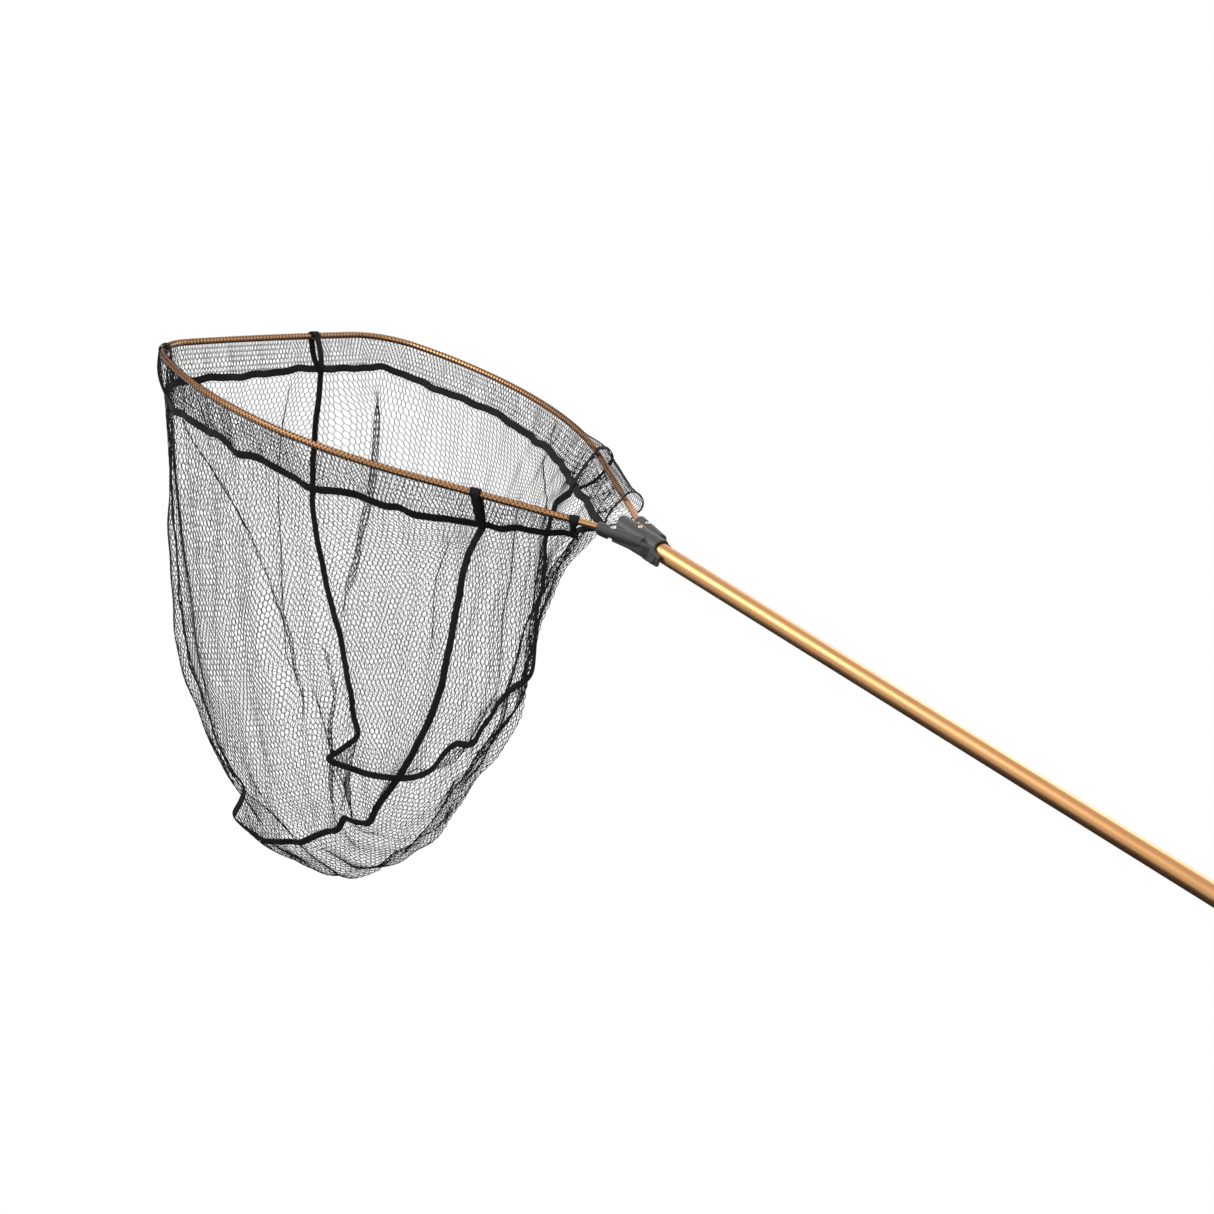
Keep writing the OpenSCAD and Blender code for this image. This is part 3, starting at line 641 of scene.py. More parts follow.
class FlatCut:
    """A panel's flat pattern, laid out so that its columns hang straight down."""

    def __init__(self, bag: Bag, panel: Panel, folds: Sequence[Fold]) -> None:
        """Measures the panel: its length down the middle and its width at each depth."""
        self.bag, self.panel, self.folds = bag, panel, tuple(folds)
        q = np.linspace(0, 1, 121)
        p = np.linspace(0, 1, 41)
        grid = bag.base(panel, *(a for a in np.meshgrid(p, q)))
        across = np.linalg.norm(np.diff(grid, axis=1), axis=2).sum(axis=1)
        down = np.linalg.norm(np.diff(grid, axis=0), axis=2)[:, 8:33].mean(axis=1)
        self.q = q
        self.depth = np.concatenate([[0], np.cumsum(down)])
        self.width = across
        if panel is Panel.CENTRE:
            self.left = -across / 2
        else:
            self.left = grid[:, 0, 0] - grid[0, 0, 0]

    def to_pq(self, x: Array, y: Array) -> tuple[Array, Array]:
        """Panel coordinates of a flat point: q from depth y, p from the share of the width there."""
        q = np.interp(y, self.depth, self.q)
        q = q + np.minimum(y, 0) / self.depth[-1] + np.maximum(y - self.depth[-1], 0) / self.depth[-1]
        left, width = np.interp(q, self.q, self.left), np.interp(q, self.q, self.width)
        return (x - left) / width, q

    def place(self, x: Array, y: Array) -> Array:
        """Hanging place of a flat point, folds and slack waves included."""
        rise = np.zeros_like(x)
        moved = x.copy()
        p, _ = self.to_pq(x, y)
        hold = smoothstep(np.minimum(p, 1 - p), 0, 0.08)
        for fold in self.folds:
            shift, up = fold.offset(x, y)
            moved, rise = moved + shift * hold, rise + up
        p, q = self.to_pq(moved, y)
        p, q = np.clip(p, 0, 1), np.clip(q, 0, 1)
        edge = np.clip(4 * p * (1 - p), 0, 1) ** 0.7 * smoothstep(y, 0, 60)
        if self.panel is Panel.CENTRE:
            edge = edge * smoothstep(self.depth[-1] - y, 0, 60)
        slack = ripple(x + 0.12 * y, ((118, 3.0, 0.2), (64, 1.8, 0.7), (41, 0.9, 0.4)))
        slack = slack + ripple(y + 0.2 * x, ((190, 2.4, 0.3), (83, 1.2, 0.1)))
        lift = (rise + slack * (0.5 + 0.5 * smoothstep(y, 20, 300))) * edge
        return self.bag.base(self.panel, p, q) + self.bag.normal(self.panel, p, q) * lift[..., None]


# ---------------------------------------------------------------- netting
@dataclass(frozen=True)
class Knit:
    """Hexagonal knitted mesh: straight bars joined by slanting ones."""

    pitch: float = 7.0
    bar: float = 4.2
    rise: float = 3.4
    bar_r: float = 0.5
    slant_r: float = 0.4
    jitter: float = 0.35

    @property
    def row(self) -> float:
        """Distance between rows of bars."""
        return self.bar + self.rise

    def strands(self, x0: float, x1: float, y0: float, y1: float, seed: int) -> tuple[Array, Array]:
        """Strands that fill a flat rectangle.

        A bar of row j and column i runs down from (i + half of (j odd)) pitches; its lower
        end is joined to the upper ends of the two bars below it.

        Returns:
            (n, 2, 2) flat end points and (n,) radii.
        """
        rng = np.random.default_rng(seed)
        cols = int(math.ceil((x1 - x0) / self.pitch)) + 2
        rows = int(math.ceil((y1 - y0) / self.row)) + 2
        i, j = np.meshgrid(np.arange(cols), np.arange(rows))
        x = x0 + (i - 0.5 + 0.5 * (j % 2)) * self.pitch
        y = y0 + (j - 0.5) * self.row
        noise = rng.uniform(-self.jitter, self.jitter, (2, 2) + x.shape)
        top = np.stack([x + noise[0, 0], y + noise[0, 1]], axis=-1)
        foot = np.stack([x + noise[1, 0], y + self.bar + noise[1, 1]], axis=-1)
        shift = (np.arange(rows - 1) % 2)[:, None]
        right_i = np.arange(cols)[None] + shift
        left_i = right_i - 1
        row_i = np.broadcast_to(np.arange(1, rows)[:, None], right_i.shape)
        parts, radii = [np.stack([top, foot], axis=2).reshape(-1, 2, 2)], []
        radii.append(np.full(len(parts[0]), self.bar_r))
        for k in (left_i, right_i):
            ok = (k >= 0) & (k < cols)
            ends = np.stack([foot[:-1][ok], top[row_i[ok], k[ok]]], axis=1)
            parts.append(ends)
            radii.append(np.full(len(ends), self.slant_r))
        return np.concatenate(parts), np.concatenate(radii)

    def area_share(self) -> float:
        """Twine opened flat over the netting's area: strand lengths times pi times radii."""
        slant = math.hypot(self.pitch / 2, self.rise)
        twine = math.pi * (self.bar_r * self.bar + 2 * self.slant_r * slant)
        return twine / (self.pitch * self.row)


def strand_mesh(name: str, paths: Array, radii: Array) -> bpy.types.Object:
    """Square-section twine along many short paths, each a closed solid.

    Corner = point + radius * (a cos + b sin), with a and b square to the strand.

    Args:
        name: name of the piece.
        paths: (n, k, 3) points of the strands.
        radii: (n,) radii.
    """
    n, k = paths.shape[:2]
    d = unit(np.gradient(paths, axis=1))
    paths = paths.copy()
    paths[:, 0] -= d[:, 0] * radii[:, None] * 0.5
    paths[:, -1] += d[:, -1] * radii[:, None] * 0.5
    ref = np.where(np.abs(d[:, :1, 2:3]) < 0.8, np.array([0, 0, 1.0]), np.array([1.0, 0, 0]))
    a = unit(np.cross(d, np.broadcast_to(ref, d.shape)))
    b = np.cross(d, a)
    turn = np.pi * (0.25 + 0.5 * np.arange(4))
    ring = (
        a[:, :, None] * np.cos(turn)[None, None, :, None]
        + b[:, :, None] * np.sin(turn)[None, None, :, None]
    )
    verts = paths[:, :, None] + ring * radii[:, None, None, None] * 1.1
    base = (np.arange(n) * k * 4)[:, None, None]
    i, j = np.meshgrid(np.arange(k - 1), np.arange(4), indexing="ij")
    i, j, j2 = i.ravel(), j.ravel(), (j.ravel() + 1) % 4
    tube = np.stack([i * 4 + j, i * 4 + j2, (i + 1) * 4 + j2, (i + 1) * 4 + j], axis=1)
    caps = np.array([[3, 2, 1, 0], [4 * k - 4, 4 * k - 3, 4 * k - 2, 4 * k - 1]])
    faces = (np.concatenate([tube, caps])[None] + base).reshape(-1, 4)
    return new_mesh(name, verts.reshape(-1, 3), [faces])


def ribbon(
    name: str, path: Array, face: Array, width: float | Array, thick: float, closed: bool = False
) -> bpy.types.Object:
    """Flat woven tape along a path, with rounded edges.

    Args:
        name: name of the piece.
        path: (n, 3) centre line.
        face: (n, 3) directions that the tape's face looks in.
        width: width, or one for each point.
        thick: thickness.
        closed: the path joins its beginning.
    """
    ahead = np.roll(path, -1, axis=0) - np.roll(path, 1, axis=0) if closed else np.gradient(path, axis=0)
    d = unit(ahead)
    side = unit(np.cross(face, d))
    up = np.cross(d, side)
    half = np.broadcast_to(np.asarray(width, float), (len(path),))[:, None] / 2
    x = np.array([-1, -0.6, -0.2, 0.2, 0.6, 1, 1, 0.6, 0.2, -0.2, -0.6, -1])
    y = np.array([-0.3, -1, -0.86, -0.86, -1, -0.3, 0.3, 1, 0.86, 0.86, 1, 0.3]) * thick / 2
    profile = np.stack([half * x, np.broadcast_to(y, (len(path), len(y)))], axis=-1)
    verts, faces = sweep(path, side, up, profile, closed)
    run = np.concatenate([[0], np.cumsum(np.linalg.norm(np.diff(path, axis=0), axis=1))])
    uv = np.stack([np.broadcast_to(run[:, None], profile.shape[:2]), profile[..., 0]], axis=-1)
    return new_mesh(name, verts, faces, uv.reshape(-1, 2))


# ---------------------------------------------------------------- shader groups
class Group:
    """A shader node group under construction."""

    def __init__(self, name: str, inputs: dict[str, str], outputs: Sequence[str]) -> None:
        """Makes the group with float or vector inputs and float outputs."""
        self.tree = bpy.data.node_groups.new(name, "ShaderNodeTree")
        for key, kind in inputs.items():
            self.tree.interface.new_socket(key, in_out="INPUT", socket_type=f"NodeSocket{kind}")
        for key in outputs:
            self.tree.interface.new_socket(key, in_out="OUTPUT", socket_type="NodeSocketFloat")
        self.inp = self.tree.nodes.new("NodeGroupInput").outputs
        self.out = self.tree.nodes.new("NodeGroupOutput").inputs

    def node(self, kind: str, feeds: dict, **props: object) -> bpy.types.Node:
        """Adds a node, sets its properties, and fills its inputs with values or links."""
        return add_node(self.tree, kind, feeds, **props)

    def math(self, op: str, *terms: object, clamp: bool = False) -> bpy.types.NodeSocket:
        """Adds a Math node over sockets or numbers."""
        feeds = dict(enumerate(terms))
        return self.node("ShaderNodeMath", feeds, operation=op, use_clamp=clamp).outputs[0]


def add_node(
    tree: bpy.types.NodeTree, kind: str, feeds: dict, **props: object
) -> bpy.types.Node:
    """Adds a node to a tree.

    Args:
        tree: the tree.
        kind: the node's type.
        feeds: input name or number to a socket, which is linked, or to a value, which is set.
        props: the node's own properties.
    """
    node = tree.nodes.new(kind)
    for key, value in props.items():
        setattr(node, key, value)
    for key, value in feeds.items():
        if isinstance(value, bpy.types.NodeSocket):
            tree.links.new(value, node.inputs[key])
        else:
            node.inputs[key].default_value = value
    return node


def grain_group() -> bpy.types.NodeTree:
    """Fine grain: a coarse noise for tone and a fine one for height."""
    g = Group("grain", {"Vector": "Vector", "Coarse": "Float", "Fine": "Float"}, ("Tone", "Height"))
    for key, size, detail in (("Tone", "Coarse", 4.0), ("Height", "Fine", 6.0)):
        noise = g.node(
            "ShaderNodeTexNoise",
            {"Vector": g.inp["Vector"], "Scale": g.inp[size], "Detail": detail, "Roughness": 0.6},
        )
        g.tree.links.new(noise.outputs["Fac"], g.out[key])
    return g.tree


def streak_group() -> bpy.types.NodeTree:
    """Drawing lines: noise stretched along the first axis, plus a slow change of tone."""
    g = Group("streaks", {"Vector": "Vector", "Across": "Float", "Along": "Float"}, ("Line", "Cloud"))
    split = g.node("ShaderNodeSeparateXYZ", {0: g.inp["Vector"]})
    join = g.node(
        "ShaderNodeCombineXYZ",
        {
            0: g.math("MULTIPLY", split.outputs[0], g.inp["Along"]),
            1: g.math("MULTIPLY", split.outputs[1], g.inp["Across"]),
            2: g.math("MULTIPLY", split.outputs[2], g.inp["Across"]),
        },
    )
    line = g.node("ShaderNodeTexNoise", {"Vector": join.outputs[0], "Scale": 1.0, "Detail": 5.0})
    cloud = g.node("ShaderNodeTexNoise", {"Vector": g.inp["Vector"], "Scale": 18.0, "Detail": 3.0})
    g.tree.links.new(line.outputs["Fac"], g.out["Line"])
    g.tree.links.new(cloud.outputs["Fac"], g.out["Cloud"])
    return g.tree


def weave_group() -> bpy.types.NodeTree:
    """Ribbed tape weave from surface coordinates in mm.

    Height is the larger of a warp and a weft wave, each half a turn out of step with its
    neighbour; edge is 1 along the two selvedges.
    """
    g = Group(
        "weave", {"Vector": "Vector", "Rib": "Float", "Half width": "Float"},
        ("Height", "Edge", "Fluff"),
    )
    split = g.node("ShaderNodeSeparateXYZ", {0: g.inp["Vector"]})
    turns = [
        g.math("MULTIPLY", g.math("DIVIDE", split.outputs[k], g.inp["Rib"]), math.pi) for k in (0, 1)
    ]
    across = g.math("ABSOLUTE", g.math("SINE", turns[0]))
    diagonal = g.math("ABSOLUTE", g.math("SINE", g.math("ADD", turns[0], turns[1])))
    g.tree.links.new(g.math("MAXIMUM", g.math("MULTIPLY", across, 0.7), diagonal), g.out["Height"])
    side = g.math("DIVIDE", g.math("ABSOLUTE", split.outputs[1]), g.inp["Half width"])
    edge = g.node(
        "ShaderNodeMapRange", {"Value": side, "From Min": 0.78, "From Max": 0.98},
        interpolation_type="SMOOTHSTEP",
    )
    g.tree.links.new(edge.outputs[0], g.out["Edge"])
    fluff = g.node("ShaderNodeTexNoise", {"Vector": g.inp["Vector"], "Scale": 1.8, "Detail": 4.0})
    g.tree.links.new(fluff.outputs["Fac"], g.out["Fluff"])
    return g.tree


class Effects:
    """The shared shader groups, each built once."""

    def __init__(self) -> None:
        """Builds them."""
        self.grain = grain_group()
        self.streaks = streak_group()
        self.weave = weave_group()


# ---------------------------------------------------------------- finishes
def rgba(c: Colour) -> tuple[float, float, float, float]:
    """Colour with full alpha."""
    return (*c, 1.0)


class Dresser:
    """Node tree of one material, with helpers for tones and bumps."""

    def __init__(self, name: str, turn: float = 0.0, uv: bool = False) -> None:
        """Makes the material.

        Args:
            name: its name.
            turn: angle about Y, in radians, that lays object coordinates along a tube.
            uv: read the surface coordinates rather than object coordinates.
        """
        self.mat = bpy.data.materials.new(name)
        self.mat.use_nodes = True
        self.tree = self.mat.node_tree
        self.bsdf = self.tree.nodes["Principled BSDF"]
        coords = self.node("ShaderNodeTexCoord", {})
        vector = coords.outputs["UV" if uv else "Object"]
        if turn:
            vector = self.node(
                "ShaderNodeMapping", {"Vector": vector, "Rotation": (0.0, turn, 0.0)}
            ).outputs[0]
        self.vector = vector

    def node(self, kind: str, feeds: dict, **props: object) -> bpy.types.Node:
        """Adds a node."""
        return add_node(self.tree, kind, feeds, **props)

    def group(self, tree: bpy.types.NodeTree, **values: float) -> bpy.types.Node:
        """Places a shared group, reading this material's coordinates."""
        node = self.node("ShaderNodeGroup", {}, node_tree=tree)
        self.tree.links.new(self.vector, node.inputs["Vector"])
        for key, value in values.items():
            node.inputs[key.replace("_", " ")].default_value = value
        return node

    def ramp(
        self, source: bpy.types.NodeSocket, low: float, high: float, a: float, b: float
    ) -> bpy.types.NodeSocket:
        """Smooth change from a to b as the source goes from low to high."""
        return self.node(
            "ShaderNodeMapRange",
            {"Value": source, "From Min": low, "From Max": high, "To Min": a, "To Max": b},
            interpolation_type="SMOOTHSTEP",
        ).outputs[0]

    def tint(
        self, mask: bpy.types.NodeSocket, a: Colour | bpy.types.NodeSocket, b: Colour
    ) -> bpy.types.NodeSocket:
        """Colour mix of a and b by the mask."""
        first = a if isinstance(a, bpy.types.NodeSocket) else rgba(a)
        node = self.node(
            "ShaderNodeMix", {0: mask, 6: first, 7: rgba(b)}, data_type="RGBA", blend_type="MIX"
        )
        return node.outputs[2]

    def bump(self, height: bpy.types.NodeSocket, depth: float) -> None:
        """Feeds the shader's normal with a bump of that depth in metres."""
        node = self.node("ShaderNodeBump", {"Height": height, "Strength": 1.0, "Distance": depth})
        self.wire("Normal", node.outputs[0])

    def wire(self, socket: str, value: object) -> None:
        """Sets or links an input of the shader."""
        if isinstance(value, bpy.types.NodeSocket):
            self.tree.links.new(value, self.bsdf.inputs[socket])
        else:
            self.bsdf.inputs[socket].default_value = value


@dataclass(frozen=True)
class Anodised:
    """Coloured satin anodising on drawn aluminium."""

    name: str
    base: Colour
    deep: Colour
    roughness: float
    turn: float = 0.0
    uv: bool = False
    across: float = 1400.0
    along: float = 9.0

    def build(self, fx: Effects) -> bpy.types.Material:
        """Makes the material."""
        d = Dresser(self.name, self.turn, self.uv)
        lines = d.group(fx.streaks, Across=self.across, Along=self.along)
        tone = d.ramp(lines.outputs["Line"], 0.35, 0.68, 0.0, 0.55)
        d.wire("Base Color", d.tint(tone, self.base, self.deep))
        d.wire("Metallic", 1.0)
        d.wire("Roughness", d.ramp(lines.outputs["Cloud"], 0.3, 0.7,
                                   self.roughness - 0.03, self.roughness + 0.03))
        d.wire("Coat Weight", 0.35)
        d.wire("Coat Roughness", 0.3)
        d.bump(lines.outputs["Line"], 0.0000004)
        return d.mat


@dataclass(frozen=True)
class Moulding:
    """Matt injection-moulded plastic with a fine spark-eroded grain."""

    name: str
    base: Colour
    worn: Colour
    roughness: float
    fine: float = 2600.0
    depth: float = 0.000018

    def build(self, fx: Effects) -> bpy.types.Material:
        """Makes the material."""
        d = Dresser(self.name)
        grain = d.group(fx.grain, Coarse=55.0, Fine=self.fine)
        d.wire("Base Color", d.tint(d.ramp(grain.outputs["Tone"], 0.35, 0.7, 0.0, 0.8),
                                    self.base, self.worn))
        d.wire("Roughness", d.ramp(grain.outputs["Height"], 0.3, 0.7,
                                   self.roughness - 0.06, self.roughness + 0.08))
        d.bump(grain.outputs["Height"], self.depth)
        return d.mat


@dataclass(frozen=True)
class Steel:
    """Bright steel, brushed by handling."""

    name: str
    base: Colour
    roughness: float

    def build(self, fx: Effects) -> bpy.types.Material:
        """Makes the material."""
        d = Dresser(self.name)
        grain = d.group(fx.grain, Coarse=300.0, Fine=2200.0)
        d.wire("Base Color", d.tint(d.ramp(grain.outputs["Tone"], 0.3, 0.7, 0.0, 0.5), self.base,
                                    tuple(0.8 * c for c in self.base)))
        d.wire("Metallic", 1.0)
        d.wire("Roughness", d.ramp(grain.outputs["Height"], 0.3, 0.7,
                                   self.roughness - 0.05, self.roughness + 0.08))
        d.bump(grain.outputs["Height"], 0.00002)
        return d.mat


@dataclass(frozen=True)
class Twine:
    """Dark twisted nylon twine with a slight sheen."""

    name: str
    base: Colour
    paler: Colour

    def build(self, fx: Effects) -> bpy.types.Material:
        """Makes the material."""
        d = Dresser(self.name)
        grain = d.group(fx.grain, Coarse=24.0, Fine=1900.0)
        # The twine is mixed with a paler tone in random patches.
        d.wire("Base Color", d.tint(d.ramp(grain.outputs["Tone"], 0.4, 0.75, 0.0, 1.0),
                                    self.base, self.paler))
        d.wire("Roughness", d.ramp(grain.outputs["Height"], 0.3, 0.7, 0.6, 0.85))
        d.wire("Specular IOR Level", 0.16)
        d.bump(grain.outputs["Height"], 0.00012)
        return d.mat


@dataclass(frozen=True)
class WovenTape:
    """Narrow binding tape, woven with a fine diagonal rib; its rib tops carry a painted sheen."""

    name: str
    base: Colour
    # Colour painted on the rib tops: a painted sheen.
    rib_sheen: Colour
    half_width: float
    rib: float = 1.1

    def build(self, fx: Effects) -> bpy.types.Material:
        """Makes the material."""
        d = Dresser(self.name, uv=True)
        weave = d.group(fx.weave, Rib=self.rib, Half_width=self.half_width)
        # Painted sheen and shade: the rib tops are painted lighter and the grooves between them darker,
        # following the weave's height.
        sheen_on_ribs = d.tint(d.ramp(weave.outputs["Height"], 0.3, 1.0, 0.0, 1.0), self.base, self.rib_sheen)
        dark = tuple(0.6 * c for c in self.base)
        d.wire("Base Color", d.tint(weave.outputs["Edge"], sheen_on_ribs, dark))
        d.wire("Roughness", d.ramp(weave.outputs["Fluff"], 0.3, 0.7, 0.65, 0.9))
        d.wire("Specular IOR Level", 0.16)
        d.bump(weave.outputs["Height"], 0.00018)
        return d.mat


@dataclass(frozen=True)
class Foam:
    """Closed-cell grip foam with open pores."""

    name: str
    base: Colour

    def build(self, fx: Effects) -> bpy.types.Material:
        """Makes the material."""
        d = Dresser(self.name)
        cells = d.node("ShaderNodeTexVoronoi", {"Vector": d.vector, "Scale": 900.0},
                       feature="DISTANCE_TO_EDGE")
        pores = d.ramp(cells.outputs["Distance"], 0.0, 0.25, 0.0, 1.0)
        grain = d.group(fx.grain, Coarse=60.0, Fine=1500.0)
        tone = d.tint(d.ramp(grain.outputs["Tone"], 0.35, 0.7, 0.0, 0.7), self.base,
                      tuple(1.5 * c for c in self.base))
        d.wire("Base Color", tone)
        d.wire("Roughness", d.ramp(grain.outputs["Height"], 0.3, 0.7, 0.8, 0.95))
        d.bump(pores, 0.0002)
        return d.mat


class Finish(Enum):
    """The finishes, by the record's slot."""

    GOLD_TUBE = "gold_tube"
    GOLD_ROD = "gold_rod"
    GREY_MOULDING = "grey_moulding"
    DARK_MOULDING = "dark_moulding"
    BUSH_PLASTIC = "bush_plastic"
    BRIGHT_STEEL = "bright_steel"
    FOAM_GRIP = "foam_grip"
    NETTING = "netting"
    BINDING_TAPE = "binding_tape"


class Wardrobe:
    """Every finish, built once."""

    def __init__(self, posture: Posture) -> None:
        """Builds the materials."""
        fx = Effects()
        recipes = {
            Finish.GOLD_TUBE: Anodised("anodised_tube", (0.56, 0.285, 0.115), (0.52, 0.255, 0.098), 0.36,
                                       turn=-posture.pitch),
            Finish.GOLD_ROD: Anodised("anodised_rod", (0.50, 0.25, 0.105), (0.42, 0.20, 0.075), 0.38,
                                      uv=True, across=0.9, along=0.006),
            Finish.GREY_MOULDING: Moulding("grey_moulding", (0.040, 0.041, 0.040),
                                           (0.056, 0.057, 0.056), 0.46),
            Finish.DARK_MOULDING: Moulding("dark_moulding", (0.02, 0.02, 0.021),
                                           (0.032, 0.032, 0.033), 0.5),
            Finish.BUSH_PLASTIC: Moulding("bush_plastic", (0.28, 0.28, 0.27), (0.34, 0.34, 0.32), 0.45),
            Finish.BRIGHT_STEEL: Steel("bright_steel", (0.62, 0.61, 0.59), 0.26),
            Finish.FOAM_GRIP: Foam("grip_foam", (0.014, 0.014, 0.015)),
            # The twine's second colour is a paler tone, mixed in at random.
            Finish.NETTING: Twine("net_twine", (0.006, 0.006, 0.008), (0.014, 0.013, 0.014)),
            # The binding tape's second colour is a painted sheen on its rib tops.
            Finish.BINDING_TAPE: WovenTape("binding_tape", (0.0065, 0.006, 0.008),
                                           (0.017, 0.015, 0.017), 4.5),
        }
        self.materials = {key: recipe.build(fx) for key, recipe in recipes.items()}

    def dress(self, obj: bpy.types.Object, finish: Finish, is_new: bool = True) -> bpy.types.Object:
        """Puts a piece's finish into its material slots."""
        if is_new:
            obj.data.materials.clear()
            obj.data.materials.append(self.materials[finish])
        else:
            for slot in obj.material_slots:
                slot.link = "OBJECT"
                slot.material = self.materials[finish]
        return obj


# ---------------------------------------------------------------- sub-assemblies
class Handle:
    """Tubes, clamp, grip and butt: CAD nodes with finishes, and a foam sleeve for the grip."""

    nodes: dict[str, Finish] = {
        "outer_tube": Finish.GOLD_TUBE,
        "inner_tube": Finish.GOLD_TUBE,
        "tube_plug": Finish.GREY_MOULDING,
        "slide_bush": Finish.BUSH_PLASTIC,
        "collet": Finish.BUSH_PLASTIC,
        "twist_collar": Finish.DARK_MOULDING,
        "butt_cap": Finish.DARK_MOULDING,
    }

    def __init__(self, posture: Posture, wardrobe: Wardrobe) -> None:
        """Keeps the posture and the finishes."""
        self.posture, self.wardrobe = posture, wardrobe
        self.start, self.end, self.radius, self.bore = 876.0, 1066.0, 16.0, 11.2

    def foam(self) -> bpy.types.Object:
        """Foam sleeve: a closed ring profile turned about the tube's axis.

        Its outside swells by a sine of its length, and both ends are rounded.
        """
        n = 60
        v = np.linspace(0, 1, n)
        round_off = 3.0 * (np.exp(-v * 60) + np.exp(-(1 - v) * 60))
        outer = self.radius - 0.3 + 0.3 * np.sin(np.pi * v) - round_off
        x = mix(self.start, self.end, v)
        ring_r = np.concatenate([outer, np.full(n, self.bore)])
        ring_x = np.concatenate([x, x[::-1]])
        a = 2 * np.pi * np.arange(72) / 72
        pts = np.stack(
            [
                np.broadcast_to(ring_x, (72, 2 * n)),
                ring_r * np.cos(a)[:, None],
                ring_r * np.sin(a)[:, None],
            ],
            axis=-1,
        )
        faces = grid_faces(72, 2 * n, True, True)[:, ::-1]
        return new_mesh("grip_foam", self.posture.handle(pts).reshape(-1, 3), [faces])

    def build(self, frame: dict) -> list[bpy.types.Object]:
        """Dresses the nodes and makes the foam."""
        for name, finish in self.nodes.items():
            self.wardrobe.dress(frame["nodes"][name], finish, is_new=False)
        foam = self.wardrobe.dress(self.foam(), Finish.FOAM_GRIP)
        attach(foam, "grip")
        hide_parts("grip")
        return [foam]


class Spreader:
    """Moulded block, its fasteners and the rod of the hoop."""

    nodes: dict[str, Finish] = {
        "hinge_pin": Finish.GREY_MOULDING,
        "pin_washers": Finish.GREY_MOULDING,
        "hoop_rivets": Finish.BRIGHT_STEEL,
        "lock_button": Finish.BRIGHT_STEEL,
        "button_spring": Finish.BRIGHT_STEEL,
        "button_seat": Finish.BRIGHT_STEEL,
    }

    def __init__(self, hoop: HoopLine, wardrobe: Wardrobe) -> None:
        """Keeps the hoop's line and the finishes."""
        self.hoop, self.wardrobe = hoop, wardrobe
        self.rod_r, self.barrel_grip, self.voxel = 4.0, 48.0, 0.75

    def block(self, frame: dict) -> bpy.types.Object:
        """Moulding with eased edges: the CAD block joined up, remeshed and smoothed."""
        source = frame["nodes"]["spreader_block"]
        obj = source.copy()
        obj.data = source.data.copy()
        obj.name = "moulded_block"
        obj.parent = None
        bpy.context.scene.collection.objects.link(obj)
        weld = obj.modifiers.new("weld", "WELD")
        weld.merge_threshold = 1e-5
        remesh = obj.modifiers.new("remesh", "REMESH")
        remesh.mode, remesh.voxel_size = "VOXEL", self.voxel * MM
        ease = obj.modifiers.new("ease", "SMOOTH")
        ease.factor, ease.iterations = 0.5, 12
        graph = bpy.context.evaluated_depsgraph_get()
        mesh = bpy.data.meshes.new_from_object(obj.evaluated_get(graph), depsgraph=graph)
        obj.modifiers.clear()
        obj.data = mesh
        mesh.polygons.foreach_set("use_smooth", np.ones(len(mesh.polygons), bool))
        return obj

    def rod(self) -> bpy.types.Object:
        """Rod bent to the hoop's line, with straight ends inside the barrels."""
        half = self.hoop.half_length
        s = np.linspace(0, 2 * half, 640)
        path, travel, _ = self.hoop.at(s)
        ends = [path[:1] - travel[:1] * self.barrel_grip, path[-1:] + travel[-1:] * self.barrel_grip]
        path = np.concatenate([ends[0], path, ends[1]])
        travel = np.concatenate([travel[:1], travel, travel[-1:]])
        up = np.broadcast_to(self.hoop.posture.hoop_normal, path.shape)
        side = np.cross(travel, up)
        verts, faces = sweep(path, side, up, circle(28, self.rod_r))
        run = np.concatenate([[0], np.cumsum(np.linalg.norm(np.diff(path, axis=0), axis=1))])
        turn = 2 * math.pi * self.rod_r * np.abs(np.arange(28) - 14) / 28
        uv = np.stack(np.broadcast_arrays(run[:, None], turn[None]), axis=-1).reshape(-1, 2)
        return new_mesh("hoop_rod", verts, faces, uv)

    def build(self, frame: dict) -> list[bpy.types.Object]:
        """Makes and dresses the pieces."""
        for name, finish in self.nodes.items():
            self.wardrobe.dress(frame["nodes"][name], finish, is_new=False)
        block = self.wardrobe.dress(self.block(frame), Finish.GREY_MOULDING)
        rod = self.wardrobe.dress(self.rod(), Finish.GOLD_ROD)
        for piece, node in ((block, "spreader_block"), (rod, "hoop")):
            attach(piece, HEAD)
            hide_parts(node)
        return [block, rod]


